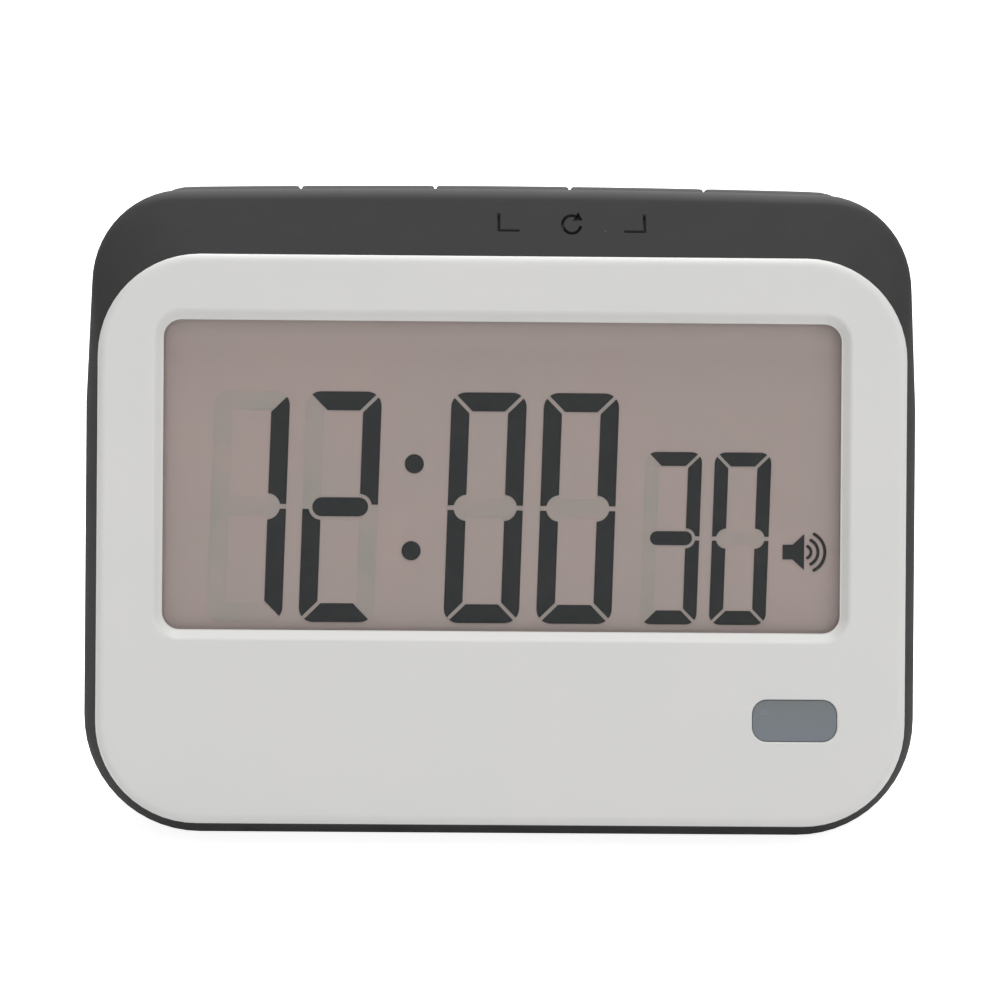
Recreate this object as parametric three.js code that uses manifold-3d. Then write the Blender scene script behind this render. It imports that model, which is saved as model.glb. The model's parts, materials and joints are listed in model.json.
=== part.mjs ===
import * as THREE from 'three';
import { mergeVertices } from 'three/addons/utils/BufferGeometryUtils.js';
import Module from 'manifold-3d';

const wasm = await Module();
wasm.setup();

// Digital table timer in millimetres, +Z up, front towards -Y, its base pad standing on z = 0.
// The face frame leans back with the bezel: x right, y depth behind the bezel's front,
// z rise along the bezel from its lower edge. The stand frame is upright.

// Driving dimensions: stance and shell
const leanDegrees = 10;
const shellWall = 2;
const sideRise = 2.4;
const bottomRise = 2;
const baseDepth = 11.5;
const shoulderRise = 9.55;
const shoulderRun = 9.4;
const ridgeRadius = 4;
const topCorner = 12.6;
const sideTaper = 0.7;
const taperLength = 29;
const crownRise = 0.45;
const deckDepth = 13;
const backRound = 4;
const backTaper = 0.8;
const padThickness = 0.8;
const padProud = 0.3;
const padMargin = 4;

// Driving dimensions: bezel
const bezelCorner = 13.8;
const bezelPlate = 2.2;
const bezelEdge = 0.9;
const lipDepth = 4.2;
const lipWall = 1.3;

// Driving dimensions: display
const windowWidth = 92.2;
const windowHeight = 42.1;
const windowTopMargin = 8.9;
const windowLowMargin = 26.3;
const windowSideMargin = 8.9;
const windowCorner = 2.4;
const windowBevel = 1;
const windowBevelWidth = 1.3;
const windowEdge = 0.5;
const coverThickness = 0.8;
const coverLap = 1.7;
const polariserThickness = 0.2;
const polariserLap = 0.8;
const glassThickness = 1.1;
const reflectorThickness = 0.3;
const reflectorMargin = 0.5;
const connectorRoom = 4.1;
const zebraWidth = 2;
const frameWall = 0.8;

// Driving dimensions: alarm light
const lensWidth = 11.5;
const lensHeight = 5.7;
const lensCorner = 2;
const lensSideMargin = 9.28;
const lensCentreRise = 14.45;
const lensRecess = 0.2;
const lensFlange = 1;
const lensFlangeDepth = 1.2;
const ledRadius = 2.3;
const ledFlange = 0.35;
const ledCollar = 1;

// Driving dimensions: boards and what they carry
const boardThickness = 1.6;
const boardBottomRise = 6;
const boardSideMargin = 5.5;
const boardTopLap = 0.5;
const hookSpacing = 50;
const hookWidth = 8;
const hookThickness = 1.8;
const hookTooth = 1.2;
const lowerScrewSpacing = 40;
const blobRadius = 7;
const blobHeight = 2;
const crystalRadius = 1.5;
const crystalLength = 8;
const capacitorRadius = 2.5;
const capacitorHeight = 6;
const coilRadius = 3.5;
const coilHeight = 5;
const coilFlange = 1;
const coilWaist = 2.6;
const blobX = -12.4;
const crystalX = 9.9;
const capacitorX = 22.3;
const coilX = 29.7;
const componentRise = 7;

// Driving dimensions: keys and switches
const keyNames = ['mode', 'hour', 'minute', 'second', 'start'];
const keyRowInset = 10.6;
const keyGap = 0.6;
const keyDepth = 10.4;
const keyFrontMargin = 1.6;
const keyProud = 0.45;
const keyEdge = 0.5;
const keyCorner = 1.2;
const keyFlange = 1.2;
const keyFlangeDrop = 0.8;
const keyStemRadius = 2.2;
const keyStemLength = 0.7;
const keyTravel = 0.5;
const switchSize = 6;
const switchHeight = 3.4;
const plungerRadius = 1.7;
const plungerReach = 1.2;
const plungerDepth = 1.4;
const keyBoardEdge = 2.8;
const ribbonWidth = 10;
const ribbonThickness = 0.3;
const ribbonInset = 2;
const ribbonDrop = 5;
const ribbonSlack = 4;

// Driving dimensions: battery bay, cells and door
const cellDiameter = 10.5;
const cellLength = 44.5;
const cellNubRadius = 1.9;
const cellNubLength = 1;
const cellEdge = 0.5;
const cellGap = 0.4;
const bayWall = 1.4;
const bayLift = 10;
const springLength = 5.5;
const springTurns = 3.5;
const springWire = 0.6;
const springBaseRadius = 3.4;
const springTipRadius = 2.2;
const contactThickness = 0.4;
const contactSize = 9;
const tabWidth = 2.4;
const tabReach = 2.2;
const doorThickness = 2;
const doorLedge = 1;
const doorTabWidth = 5;
const doorTabSpacing = 32;
const doorTabThickness = 1.1;
const doorTabReach = 1.3;
const doorTabRoot = 0.8;
const doorTabSwing = 4.4;
const doorTongueWidth = 10;
const doorTongueThickness = 1.1;
const doorTongueReach = 2;
const fingerNotchWidth = 14;
const fingerNotchRadius = 6;
const fingerNotchDepth = 1;

// Driving dimensions: sounder
const buzzerLift = 60;
const buzzerRadius = 12;
const buzzerThickness = 0.4;
const elementRadius = 9;
const elementThickness = 0.3;
const ringHeight = 3;
const ringWall = 1.2;
const soundHoleRadius = 1;
const soundHoleCircle = 5;
const soundHoleCount = 6;

// Driving dimensions: fasteners and wires
const boardScrew = { head: 1.9, headHeight: 1.3, shank: 0.9, length: 6 };
const caseScrew = { head: 2.4, headHeight: 1.6, shank: 1, length: 18 };
const screwDome = 0.6;
const slotWidth = 0.5;
const slotReach = 1.1;
const slotDepth = 0.75;
const bossRadius = 2.3;
const postRadius = 3.6;
const leadRadius = 0.6;
const leadBend = 3;
const leadSpacing = 5;
const leadLandingX = 24.75;

// Clearances
const fit = 0.3;
const layerGap = 0.1;
const partingGap = 0.3;
const through = 1;

// Facets
const cornerSteps = 7;
const smallCornerSteps = 3;
const crownSteps = 6;
const roundSides = 16;
const smallSides = 12;
const cellSides = 20;
const shoulderSteps = 3;
const roundSteps = 3;
const innerRoundSteps = 2;
const domeSteps = 4;
const shapeSegments = 4;
const ribbonSteps = 8;
const leadSteps = 16;
const springSteps = 8;
const springSides = 5;
const weldDistance = 1e-5;

const lean = THREE.MathUtils.degToRad(leanDegrees);
const radians = THREE.MathUtils.degToRad;

// Angles from 0 to a right angle
function quarter(steps) {
  return Array.from({ length: steps + 1 }, (_, i) => (Math.PI / 2) * (i / steps));
}

// Solid helpers

function signedVolume(positions, triangles) {
  const a = new THREE.Vector3();
  const b = new THREE.Vector3();
  const c = new THREE.Vector3();
  let total = 0;
  for (let i = 0; i < triangles.length; i += 3) {
    a.fromBufferAttribute(positions, triangles[i]);
    b.fromBufferAttribute(positions, triangles[i + 1]);
    c.fromBufferAttribute(positions, triangles[i + 2]);
    total += a.dot(b.cross(c)) / 6;
  }
  return total;
}

// Keeps positions only, joins shared corners, drops collapsed triangles and faces the body outwards.
function closed(geometry) {
  const bare = new THREE.BufferGeometry();
  bare.setAttribute('position', geometry.getAttribute('position'));
  bare.setIndex(geometry.getIndex());
  const welded = mergeVertices(bare, weldDistance);
  const source = welded.getIndex().array;
  const triangles = [];
  for (let i = 0; i < source.length; i += 3) {
    const [a, b, c] = [source[i], source[i + 1], source[i + 2]];
    if (a !== b && b !== c && c !== a) triangles.push(a, b, c);
  }
  if (signedVolume(welded.getAttribute('position'), triangles) < 0) triangles.reverse();
  welded.setIndex(triangles);
  return welded;
}

function toSolid(geometry) {
  const body = closed(geometry);
  const vertProperties = new Float32Array(body.getAttribute('position').array);
  const triVerts = new Uint32Array(body.getIndex().array);
  return new wasm.Manifold(new wasm.Mesh({ numProp: 3, vertProperties, triVerts }));
}

function toGeometry(solid) {
  const result = solid.getMesh();
  const geometry = new THREE.BufferGeometry();
  geometry.setAttribute('position', new THREE.BufferAttribute(result.vertProperties, 3));
  geometry.setIndex(new THREE.BufferAttribute(result.triVerts, 1));
  return geometry;
}

function join(first, ...others) {
  return toGeometry(others.reduce((body, other) => body.add(toSolid(other)), toSolid(first)));
}

function cut(first, ...tools) {
  return toGeometry(tools.reduce((body, tool) => body.subtract(toSolid(tool)), toSolid(first)));
}

function common(first, second) {
  return toGeometry(toSolid(first).intersect(toSolid(second)));
}

function box(x0, x1, y0, y1, z0, z1) {
  const geometry = new THREE.BoxGeometry(x1 - x0, y1 - y0, z1 - z0);
  return geometry.translate((x0 + x1) / 2, (y0 + y1) / 2, (z0 + z1) / 2);
}

// A round bar along y from front to back.
function barAlongY(x, z, radius, front, back, sides = roundSides) {
  const geometry = new THREE.CylinderGeometry(radius, radius, back - front, sides);
  return geometry.translate(x, (front + back) / 2, z);
}

// A round bar along z from low to high.
function barAlongZ(x, y, radius, low, high, sides = roundSides) {
  const geometry = new THREE.CylinderGeometry(radius, radius, high - low, sides);
  return geometry.rotateX(Math.PI / 2).translate(x, y, (low + high) / 2);
}

// An outline in x and z, thickened along y from front to back.
function plate(shape, front, back) {
  const geometry = new THREE.ExtrudeGeometry(shape, {
    depth: back - front,
    bevelEnabled: false,
    curveSegments: shapeSegments,
  });
  return geometry.rotateX(Math.PI / 2).translate(0, back, 0);
}

// An outline in y and z, thickened along x about its centre.
function sideProfile(points, centreX, width) {
  const shape = new THREE.Shape(points.map(([y, z]) => new THREE.Vector2(y, z)));
  const geometry = new THREE.ExtrudeGeometry(shape, { depth: width, bevelEnabled: false });
  const turn = new THREE.Matrix4().makeBasis(
    new THREE.Vector3(0, 1, 0),
    new THREE.Vector3(0, 0, 1),
    new THREE.Vector3(1, 0, 0),
  );
  return geometry.applyMatrix4(turn).translate(centreX - width / 2, 0, 0);
}

function arc(centreX, centreZ, radius, fromDegrees, toDegrees, steps) {
  const points = [];
  for (let i = 0; i <= steps; i += 1) {
    const angle = radians(THREE.MathUtils.lerp(fromDegrees, toDegrees, i / steps));
    points.push([centreX + radius * Math.cos(angle), centreZ + radius * Math.sin(angle)]);
  }
  return points;
}

// A rounded outline about x = 0: its upper sides may taper in and its top edge may be crowned.
function outline({ half, low, top, lowCorner, highCorner, taper = 0, taperFrom = 0, crown = 0, steps }) {
  const halfTop = half - taper;
  const straight = halfTop - highCorner;
  const points = arc(half - lowCorner, low + lowCorner, lowCorner, -90, 0, steps);
  if (taperFrom) points.push([half, taperFrom]);
  points.push(...arc(straight, top - highCorner, highCorner, 0, 90, steps));
  for (let i = 1; i < crownSteps; i += 1) {
    const x = straight * (1 - (2 * i) / crownSteps);
    points.push([x, top + crown * (1 - (x / straight) ** 2)]);
  }
  points.push(...arc(-straight, top - highCorner, highCorner, 90, 180, steps));
  if (taperFrom) points.push([-half, taperFrom]);
  points.push(...arc(lowCorner - half, low + lowCorner, lowCorner, 180, 270, steps));
  return points;
}

function roundedRectangle(centreX, centreZ, width, height, corner) {
  const half = width / 2 - corner;
  const rise = height / 2 - corner;
  const shape = new THREE.Shape();
  shape.absarc(centreX + half, centreZ - rise, corner, -Math.PI / 2, 0);
  shape.absarc(centreX + half, centreZ + rise, corner, 0, Math.PI / 2);
  shape.absarc(centreX - half, centreZ + rise, corner, Math.PI / 2, Math.PI);
  shape.absarc(centreX - half, centreZ - rise, corner, Math.PI, 1.5 * Math.PI);
  return shape;
}

// A closed body through loops of equal point counts, capped at both ends.
function loft(loops) {
  const count = loops[0].length;
  const positions = loops.flat().flatMap((point) => [point.x, point.y, point.z]);
  const triangles = [];
  for (let row = 0; row + 1 < loops.length; row += 1) {
    for (let i = 0; i < count; i += 1) {
      const next = (i + 1) % count;
      const a = row * count + i;
      const b = row * count + next;
      triangles.push(a, b, a + count, b, b + count, a + count);
    }
  }
  const last = (loops.length - 1) * count;
  for (let i = 1; i + 1 < count; i += 1) {
    triangles.push(0, i + 1, i);
    triangles.push(last, last + i, last + i + 1);
  }
  const geometry = new THREE.BufferGeometry();
  geometry.setAttribute('position', new THREE.Float32BufferAttribute(positions, 3));
  geometry.setIndex(triangles);
  return geometry;
}

// A pan-head screw whose head sits on y = 0 behind the work and whose shank points to -y.
function screw({ head, headHeight, shank, length }) {
  const profile = [
    [0, headHeight],
    [head - screwDome, headHeight],
    [head, headHeight - screwDome],
    [head, 0],
    [shank, 0],
    [shank, shank - length],
    [0, -length],
  ];
  const turned = new THREE.LatheGeometry(profile.map(([r, y]) => new THREE.Vector2(r, y)), smallSides);
  const slotHalf = slotWidth / 2;
  const slotFloor = headHeight - slotDepth;
  const slotTop = headHeight + through;
  const acrossX = box(-slotReach, slotReach, slotFloor, slotTop, -slotHalf, slotHalf);
  const acrossZ = box(-slotHalf, slotHalf, slotFloor, slotTop, -slotReach, slotReach);
  return cut(turned, acrossX, acrossZ);
}

// A round wire along a smooth path.
function wire(points) {
  const section = new THREE.Shape().absarc(0, 0, leadRadius, 0, 2 * Math.PI);
  return new THREE.ExtrudeGeometry(section, {
    extrudePath: new THREE.CatmullRomCurve3(points),
    steps: leadSteps,
    curveSegments: shapeSegments,
    bevelEnabled: false,
  });
}

// Materials
function material(color, roughness, metalness = 0) {
  return new THREE.MeshStandardMaterial({ color, roughness, metalness });
}

const whitePlastic = () => material(0xd1d1cf, 0.45);
const darkSoftTouch = () => material(0x464646, 0.75);
const keyRubber = () => material(0x4a4a4a, 0.7);
const padRubber = () => material(0x262626, 0.9);
const clearPlastic = () => material(0xdfe3e2, 0.1);
const displayGlass = () => material(0x9e928c, 0.15);
const displayFilm = () => material(0x98907f, 0.5);
const lensPlastic = () => material(0x767d82, 0.35);
const blackPlastic = () => material(0x26262a, 0.5);
const boardGreen = () => material(0x2f6b3f, 0.6);
const epoxy = () => material(0x151515, 0.3);
const greyRubber = () => material(0x8d8f96, 0.8);
const steel = () => material(0xb9bcc0, 0.35, 0.9);
const brass = () => material(0xc9a24c, 0.35, 0.9);
const ceramic = () => material(0xe6e2d6, 0.5);
const cellSleeve = () => material(0x2d4f6b, 0.35);
const redWire = () => material(0xb02020, 0.5);
const blackWire = () => material(0x202020, 0.5);
const copperTape = () => material(0xb98a55, 0.45);

// Scene graph: the face group leans back, the stand group is upright
const timer = new THREE.Group();
const stand = new THREE.Group();
const face = new THREE.Group();
const faceLift = baseDepth * Math.sin(lean) + bottomRise * Math.cos(lean);
face.rotation.x = -lean;
face.position.z = faceLift;
timer.add(stand);
stand.add(face);
face.updateMatrix();
const leanMatrix = face.matrix.clone();

function addPiece(group, name, geometry, look) {
  const piece = new THREE.Mesh(closed(geometry), look);
  piece.name = name;
  group.add(piece);
  return piece;
}

function facePoint(x, depth, rise) {
  return new THREE.Vector3(x, depth, rise).applyMatrix4(leanMatrix);
}

function leaned(geometry) {
  return geometry.clone().applyMatrix4(leanMatrix);
}

// Depths and rises in the face frame
const bezelWidth = windowWidth + 2 * windowSideMargin;
const bezelHeight = windowLowMargin + windowHeight + windowTopMargin;
const bezelHalf = bezelWidth / 2;
const bezelBack = bezelPlate;
const lipBack = bezelBack + lipDepth;
const lipInset = shellWall + fit;
const lipInnerInset = lipInset + lipWall;
const windowLow = windowLowMargin;
const windowTop = windowLow + windowHeight;
const windowCentre = (windowTop + windowLow) / 2;
const glassWidth = windowWidth + 2 * coverLap;
const glassLow = windowLow - coverLap;
const glassTop = windowTop + coverLap;
const coverSeat = windowBevel + windowEdge;
const coverFront = coverSeat + layerGap;
const polariserFront = coverFront + coverThickness + layerGap;
const frontGlassFront = polariserFront + polariserThickness + layerGap;
const rearGlassFront = frontGlassFront + glassThickness + layerGap;
const reflectorFront = rearGlassFront + glassThickness + layerGap;
const boardFront = reflectorFront + reflectorThickness + connectorRoom;
const boardBack = boardFront + boardThickness;
const boardTop = glassTop + boardTopLap;
const lensX = bezelHalf - lensSideMargin - lensWidth / 2;
const postX = bezelHalf - lipInnerInset - fit - bossRadius;
const postRise = glassLow - postRadius - 2 * fit;
const caseSeat = bezelBack + 2 * fit + caseScrew.length;
const boardUpperHalf = bezelHalf - boardSideMargin;
const boardLowerHalf = postX - postRadius - 2 * fit;
const screwRise = postRise;
const screwX = lensX - lensWidth / 2 - lensFlange - fit - bossRadius;
const boardScrewSpots = [
  [-screwX, screwRise],
  [screwX, screwRise],
  [-lowerScrewSpacing / 2, boardBottomRise + bossRadius + 2 * fit],
  [lowerScrewSpacing / 2, boardBottomRise + bossRadius + 2 * fit],
];

// Front bezel: white plate with the bevelled window, a rebate for its cover, a lip into the shell,
// bosses and board hooks

function bezelLoop(depth, inset) {
  const points = outline({
    half: bezelHalf - inset,
    low: inset,
    top: bezelHeight - inset,
    lowCorner: bezelCorner - inset,
    highCorner: bezelCorner - inset,
    steps: cornerSteps,
  });
  return points.map(([x, z]) => new THREE.Vector3(x, depth, z));
}

function windowLoop(depth, spread) {
  const points = outline({
    half: windowWidth / 2 + spread,
    low: windowLow - spread,
    top: windowTop + spread,
    lowCorner: windowCorner + spread,
    highCorner: windowCorner + spread,
    steps: smallCornerSteps,
  });
  return points.map(([x, z]) => new THREE.Vector3(x, depth, z));
}

function makeBezel() {
  const edgeLoops = quarter(roundSteps).map((angle) =>
    bezelLoop(bezelEdge * (1 - Math.cos(angle)), bezelEdge * (1 - Math.sin(angle))));
  const plateBody = loft([...edgeLoops, bezelLoop(bezelBack, 0)]);
  const lipOuter = loft([bezelLoop(bezelBack - layerGap, lipInset), bezelLoop(lipBack, lipInset)]);
  const lipHollow = loft([
    bezelLoop(bezelBack - 2 * layerGap, lipInnerInset),
    bezelLoop(lipBack + through, lipInnerInset),
  ]);
  const lip = cut(lipOuter, lipHollow);
  const windowCut = loft([
    windowLoop(-through, windowBevelWidth + (through * windowBevelWidth) / windowBevel),
    windowLoop(windowBevel, 0),
    windowLoop(bezelBack + through, 0),
  ]);
  const coverRebate = box(
    -glassWidth / 2 - layerGap,
    glassWidth / 2 + layerGap,
    coverSeat,
    bezelBack + through,
    glassLow - layerGap,
    glassTop + layerGap,
  );
  const lensShape = roundedRectangle(
    lensX,
    lensCentreRise,
    lensWidth + 2 * layerGap,
    lensHeight + 2 * layerGap,
    lensCorner + layerGap,
  );
  const lensCut = plate(lensShape, -through, bezelBack + through);
  const root = bezelBack - layerGap;
  const additions = [lip];
  const pilots = [];
  for (const [x, rise] of boardScrewSpots) {
    additions.push(barAlongY(x, rise, bossRadius, root, boardFront - layerGap));
    const pilotFront = boardFront + boardThickness - boardScrew.length - fit;
    pilots.push(barAlongY(x, rise, boardScrew.shank + fit, pilotFront, boardFront + through, smallSides));
  }
  for (const side of [-1, 1]) {
    additions.push(barAlongY(side * postX, postRise, bossRadius, root, lipBack));
    const pilotRadius = caseScrew.shank + fit;
    const pilotBack = lipBack + through;
    pilots.push(barAlongY(side * postX, postRise, pilotRadius, bezelBack + fit, pilotBack, smallSides));
    const hookX = (side * hookSpacing) / 2;
    const hookLow = boardTop + fit;
    const toothFront = boardBack + fit;
    const hookProfile = [
      [root, hookLow],
      [toothFront, hookLow],
      [toothFront, boardTop - hookTooth],
      [toothFront + hookTooth, boardTop - hookTooth],
      [toothFront + hookTooth, hookLow + hookThickness],
      [root, hookLow + hookThickness],
    ];
    additions.push(sideProfile(hookProfile, hookX, hookWidth));
  }
  return cut(join(plateBody, ...additions), windowCut, coverRebate, lensCut, ...pilots);
}

addPiece(face, 'front_bezel', makeBezel(), whitePlastic());

// Display stack behind the window

function layer(width, low, top, front, thickness) {
  return box(-width / 2, width / 2, front, front + thickness, low, top);
}

const zebraSlot = zebraWidth + 2 * fit;
const rearInset = 2 * frameWall + zebraSlot + fit;
const rearLow = glassLow + rearInset;
const rearTop = glassTop - rearInset;
const rearWidth = glassWidth - 2 * (frameWall + fit);
const frameBack = boardFront - layerGap;
const zebraLength = rearWidth - 2 * frameWall;

function makeLcdFrame() {
  const block = layer(glassWidth, glassLow, glassTop, rearGlassFront, frameBack - rearGlassFront);
  const front = rearGlassFront - through;
  const depth = frameBack - rearGlassFront + 2 * through;
  const middle = layer(rearWidth + 2 * fit, rearLow - fit, rearTop + fit, front, depth);
  const slotLength = zebraLength + 2 * fit;
  const lowSlot = layer(slotLength, glassLow + frameWall, glassLow + frameWall + zebraSlot, front, depth);
  const topSlot = layer(slotLength, glassTop - frameWall - zebraSlot, glassTop - frameWall, front, depth);
  return cut(block, middle, lowSlot, topSlot);
}

const lapLow = windowLow - polariserLap;
const lapTop = windowTop + polariserLap;
const lapWidth = windowWidth + 2 * polariserLap;
const filmWidth = rearWidth - 2 * reflectorMargin;
const filmLow = rearLow + reflectorMargin;
const filmTop = rearTop - reflectorMargin;
const cover = layer(glassWidth, glassLow, glassTop, coverFront, coverThickness);
const polariser = layer(lapWidth, lapLow, lapTop, polariserFront, polariserThickness);
const frontGlass = layer(glassWidth, glassLow, glassTop, frontGlassFront, glassThickness);
const rearGlass = layer(rearWidth, rearLow, rearTop, rearGlassFront, glassThickness);
const reflector = layer(filmWidth, filmLow, filmTop, reflectorFront, reflectorThickness);
addPiece(face, 'display_window', cover, clearPlastic());
addPiece(face, 'lcd_polariser', polariser, displayFilm());
addPiece(face, 'lcd_front_glass', frontGlass, displayGlass());
addPiece(face, 'lcd_rear_glass', rearGlass, displayGlass());
addPiece(face, 'lcd_reflector', reflector, displayFilm());
addPiece(face, 'lcd_frame', makeLcdFrame(), blackPlastic());

const zebraDepth = frameBack - rearGlassFront;
const zebraLow = glassLow + frameWall + fit;
const zebraTop = glassTop - frameWall - fit - zebraWidth;
for (const [name, low] of [['zebra_strip_bottom', zebraLow], ['zebra_strip_top', zebraTop]]) {
  addPiece(face, name, layer(zebraLength, low, low + zebraWidth, rearGlassFront, zebraDepth), greyRubber());
}

// Main board, its parts and its screws

function makeMainBoard() {
  const neck = postRise + postRadius + fit;
  const shape = new THREE.Shape([
    new THREE.Vector2(-boardLowerHalf, boardBottomRise),
    new THREE.Vector2(boardLowerHalf, boardBottomRise),
    new THREE.Vector2(boardLowerHalf, neck),
    new THREE.Vector2(boardUpperHalf, neck),
    new THREE.Vector2(boardUpperHalf, boardTop),
    new THREE.Vector2(-boardUpperHalf, boardTop),
    new THREE.Vector2(-boardUpperHalf, neck),
    new THREE.Vector2(-boardLowerHalf, neck),
  ]);
  const holes = boardScrewSpots.map(([x, rise]) =>
    barAlongY(x, rise, boardScrew.shank + fit, boardFront - through, boardBack + through, smallSides));
  return cut(plate(shape, boardFront, boardBack), ...holes);
}

addPiece(face, 'main_board', makeMainBoard(), boardGreen());

boardScrewSpots.forEach(([x, rise], i) => {
  const piece = addPiece(face, `board_screw_${i + 1}`, screw(boardScrew), steel());
  piece.position.set(x, boardBack + layerGap, rise);
});

const componentFront = boardBack + layerGap;

function makeBlob() {
  const dome = quarter(domeSteps).map((angle) =>
    new THREE.Vector2(blobRadius * Math.cos(angle), blobHeight * Math.sin(angle)));
  return new THREE.LatheGeometry([new THREE.Vector2(0, 0), ...dome], roundSides);
}

const blob = makeBlob().translate(blobX, componentFront, windowCentre);
addPiece(face, 'chip_blob', blob, epoxy());
const crystal = new THREE.CylinderGeometry(crystalRadius, crystalRadius, crystalLength, smallSides)
  .rotateZ(Math.PI / 2)
  .translate(crystalX, componentFront + crystalRadius, windowCentre + componentRise);
addPiece(face, 'crystal', crystal, steel());
const capacitorBack = componentFront + capacitorHeight;
const capacitorSpot = [capacitorX, windowCentre - componentRise];
const capacitor = barAlongY(...capacitorSpot, capacitorRadius, componentFront, capacitorBack);
addPiece(face, 'capacitor', capacitor, blackPlastic());
const waist = [
  [0, 0],
  [coilRadius, 0],
  [coilRadius, coilFlange],
  [coilWaist, coilFlange],
  [coilWaist, coilHeight - coilFlange],
  [coilRadius, coilHeight - coilFlange],
  [coilRadius, coilHeight],
  [0, coilHeight],
];
const drum = new THREE.LatheGeometry(waist.map(([r, y]) => new THREE.Vector2(r, y)), roundSides)
  .translate(coilX, componentFront, windowCentre + componentRise);
addPiece(face, 'buzzer_coil', drum, copperTape());

// Alarm light: lens in the bezel and the lamp behind it

function makeLens() {
  const flangeFront = bezelBack + layerGap;
  const head = roundedRectangle(lensX, lensCentreRise, lensWidth, lensHeight, lensCorner);
  const flangeShape = roundedRectangle(
    lensX,
    lensCentreRise,
    lensWidth + 2 * lensFlange,
    lensHeight + 2 * lensFlange,
    lensCorner + lensFlange,
  );
  const stem = plate(head, lensRecess, flangeFront + layerGap);
  return join(stem, plate(flangeShape, flangeFront, flangeFront + lensFlangeDepth));
}

function makeLed() {
  const lensBack = bezelBack + layerGap + lensFlangeDepth;
  const ledHeight = boardFront - layerGap - lensBack - 2 * fit;
  const domeStart = ledHeight - ledRadius;
  const profile = [
    [0, 0],
    [ledRadius + ledFlange, 0],
    [ledRadius + ledFlange, ledCollar],
    [ledRadius, ledCollar],
  ];
  for (const angle of quarter(domeSteps)) {
    profile.push([ledRadius * Math.cos(angle), domeStart + ledRadius * Math.sin(angle)]);
  }
  const turned = new THREE.LatheGeometry(profile.map(([r, y]) => new THREE.Vector2(r, y)), smallSides);
  return turned.rotateX(Math.PI).translate(lensX, boardFront - layerGap, lensCentreRise);
}

addPiece(face, 'alarm_lens', makeLens(), lensPlastic());
addPiece(face, 'alarm_led', makeLed(), lensPlastic());

// Rear shell outline: flank and shoulder in the face frame, back in the stand frame
const bodyHalf = bezelHalf + sideRise;
const baseCorner = bezelCorner + sideRise;
const shellFront = bezelBack + partingGap;
const ridgeAngle = Math.atan2(shoulderRise, shoulderRun);
const ridgeSharp = shellFront + shoulderRun;
const ridgeTangent = ridgeRadius * Math.tan(ridgeAngle / 2);
const deckFront = ridgeSharp + ridgeTangent;
const deckRise = bezelHeight + shoulderRise;
const deckBack = deckFront + deckDepth;
const deckCorner = facePoint(0, deckBack, deckRise);
const backLoopY = deckCorner.y;
const backTop = deckCorner.z;
const backY = backLoopY + backRound;

function floorRise(depth) {
  return (depth * Math.sin(lean) - faceLift) / Math.cos(lean);
}

// Depth and top rise of each face-frame loop, from the bezel to the end of the ridge's round.
function shoulderStations() {
  const straightEnd = ridgeSharp - ridgeTangent * Math.cos(ridgeAngle);
  const stations = [];
  for (let i = 0; i < shoulderSteps; i += 1) {
    const depth = THREE.MathUtils.lerp(shellFront, straightEnd, i / shoulderSteps);
    stations.push([depth, bezelHeight + ((depth - shellFront) * shoulderRise) / shoulderRun]);
  }
  for (let i = 0; i <= roundSteps; i += 1) {
    const angle = Math.PI / 2 + ridgeAngle * (1 - i / roundSteps);
    const depth = deckFront + ridgeRadius * Math.cos(angle);
    stations.push([depth, deckRise - ridgeRadius + ridgeRadius * Math.sin(angle)]);
  }
  return stations;
}

function shellFaceLoop(depth, top, inset) {
  const share = THREE.MathUtils.clamp((depth - shellFront) / (deckFront - shellFront), 0, 1);
  const flare = Math.sin((Math.PI / 2) * share);
  const lifted = THREE.MathUtils.clamp((top + inset - bezelHeight) / shoulderRise, 0, 1);
  const half = bezelHalf + sideRise * flare - inset;
  const points = outline({
    half,
    low: Math.max(-bottomRise * flare, floorRise(depth)) + inset,
    top,
    lowCorner: bezelCorner + sideRise * flare - inset,
    highCorner: THREE.MathUtils.lerp(bezelCorner, topCorner, lifted) - inset,
    taper: sideTaper * lifted,
    taperFrom: top + inset - taperLength,
    crown: crownRise * lifted,
    steps: cornerSteps,
  });
  return points.map(([x, z]) => facePoint(x, depth, z));
}

function shellBackLoop(y, inset) {
  const points = outline({
    half: bodyHalf - backTaper - inset,
    low: inset,
    top: backTop - inset,
    lowCorner: baseCorner - inset,
    highCorner: topCorner - inset,
    taper: sideTaper,
    taperFrom: backTop - taperLength,
    crown: crownRise,
    steps: cornerSteps,
  });
  return points.map(([x, z]) => new THREE.Vector3(x, y, z));
}

function makeShellOuter() {
  const loops = shoulderStations().map(([depth, top]) => shellFaceLoop(depth, top, 0));
  for (const angle of quarter(roundSteps)) {
    const out = backRound * Math.sin(angle);
    loops.push(shellBackLoop(backLoopY + out, backRound * (1 - Math.cos(angle))));
  }
  return loft(loops);
}

function makeShellCavity() {
  const straightBack = lipBack - fit;
  const insideRound = backRound - shellWall;
  const loops = [
    shellFaceLoop(shellFront - through, bezelHeight - shellWall, shellWall),
    shellFaceLoop(shellFront, bezelHeight - shellWall, shellWall),
    shellFaceLoop(straightBack, bezelHeight - shellWall, shellWall),
    shellFaceLoop(deckFront, deckRise - shellWall, shellWall),
  ];
  for (const angle of quarter(innerRoundSteps)) {
    const out = insideRound * Math.sin(angle);
    const inset = shellWall + insideRound * (1 - Math.cos(angle));
    loops.push(shellBackLoop(backLoopY + out, inset));
  }
  return loft(loops);
}

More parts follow.
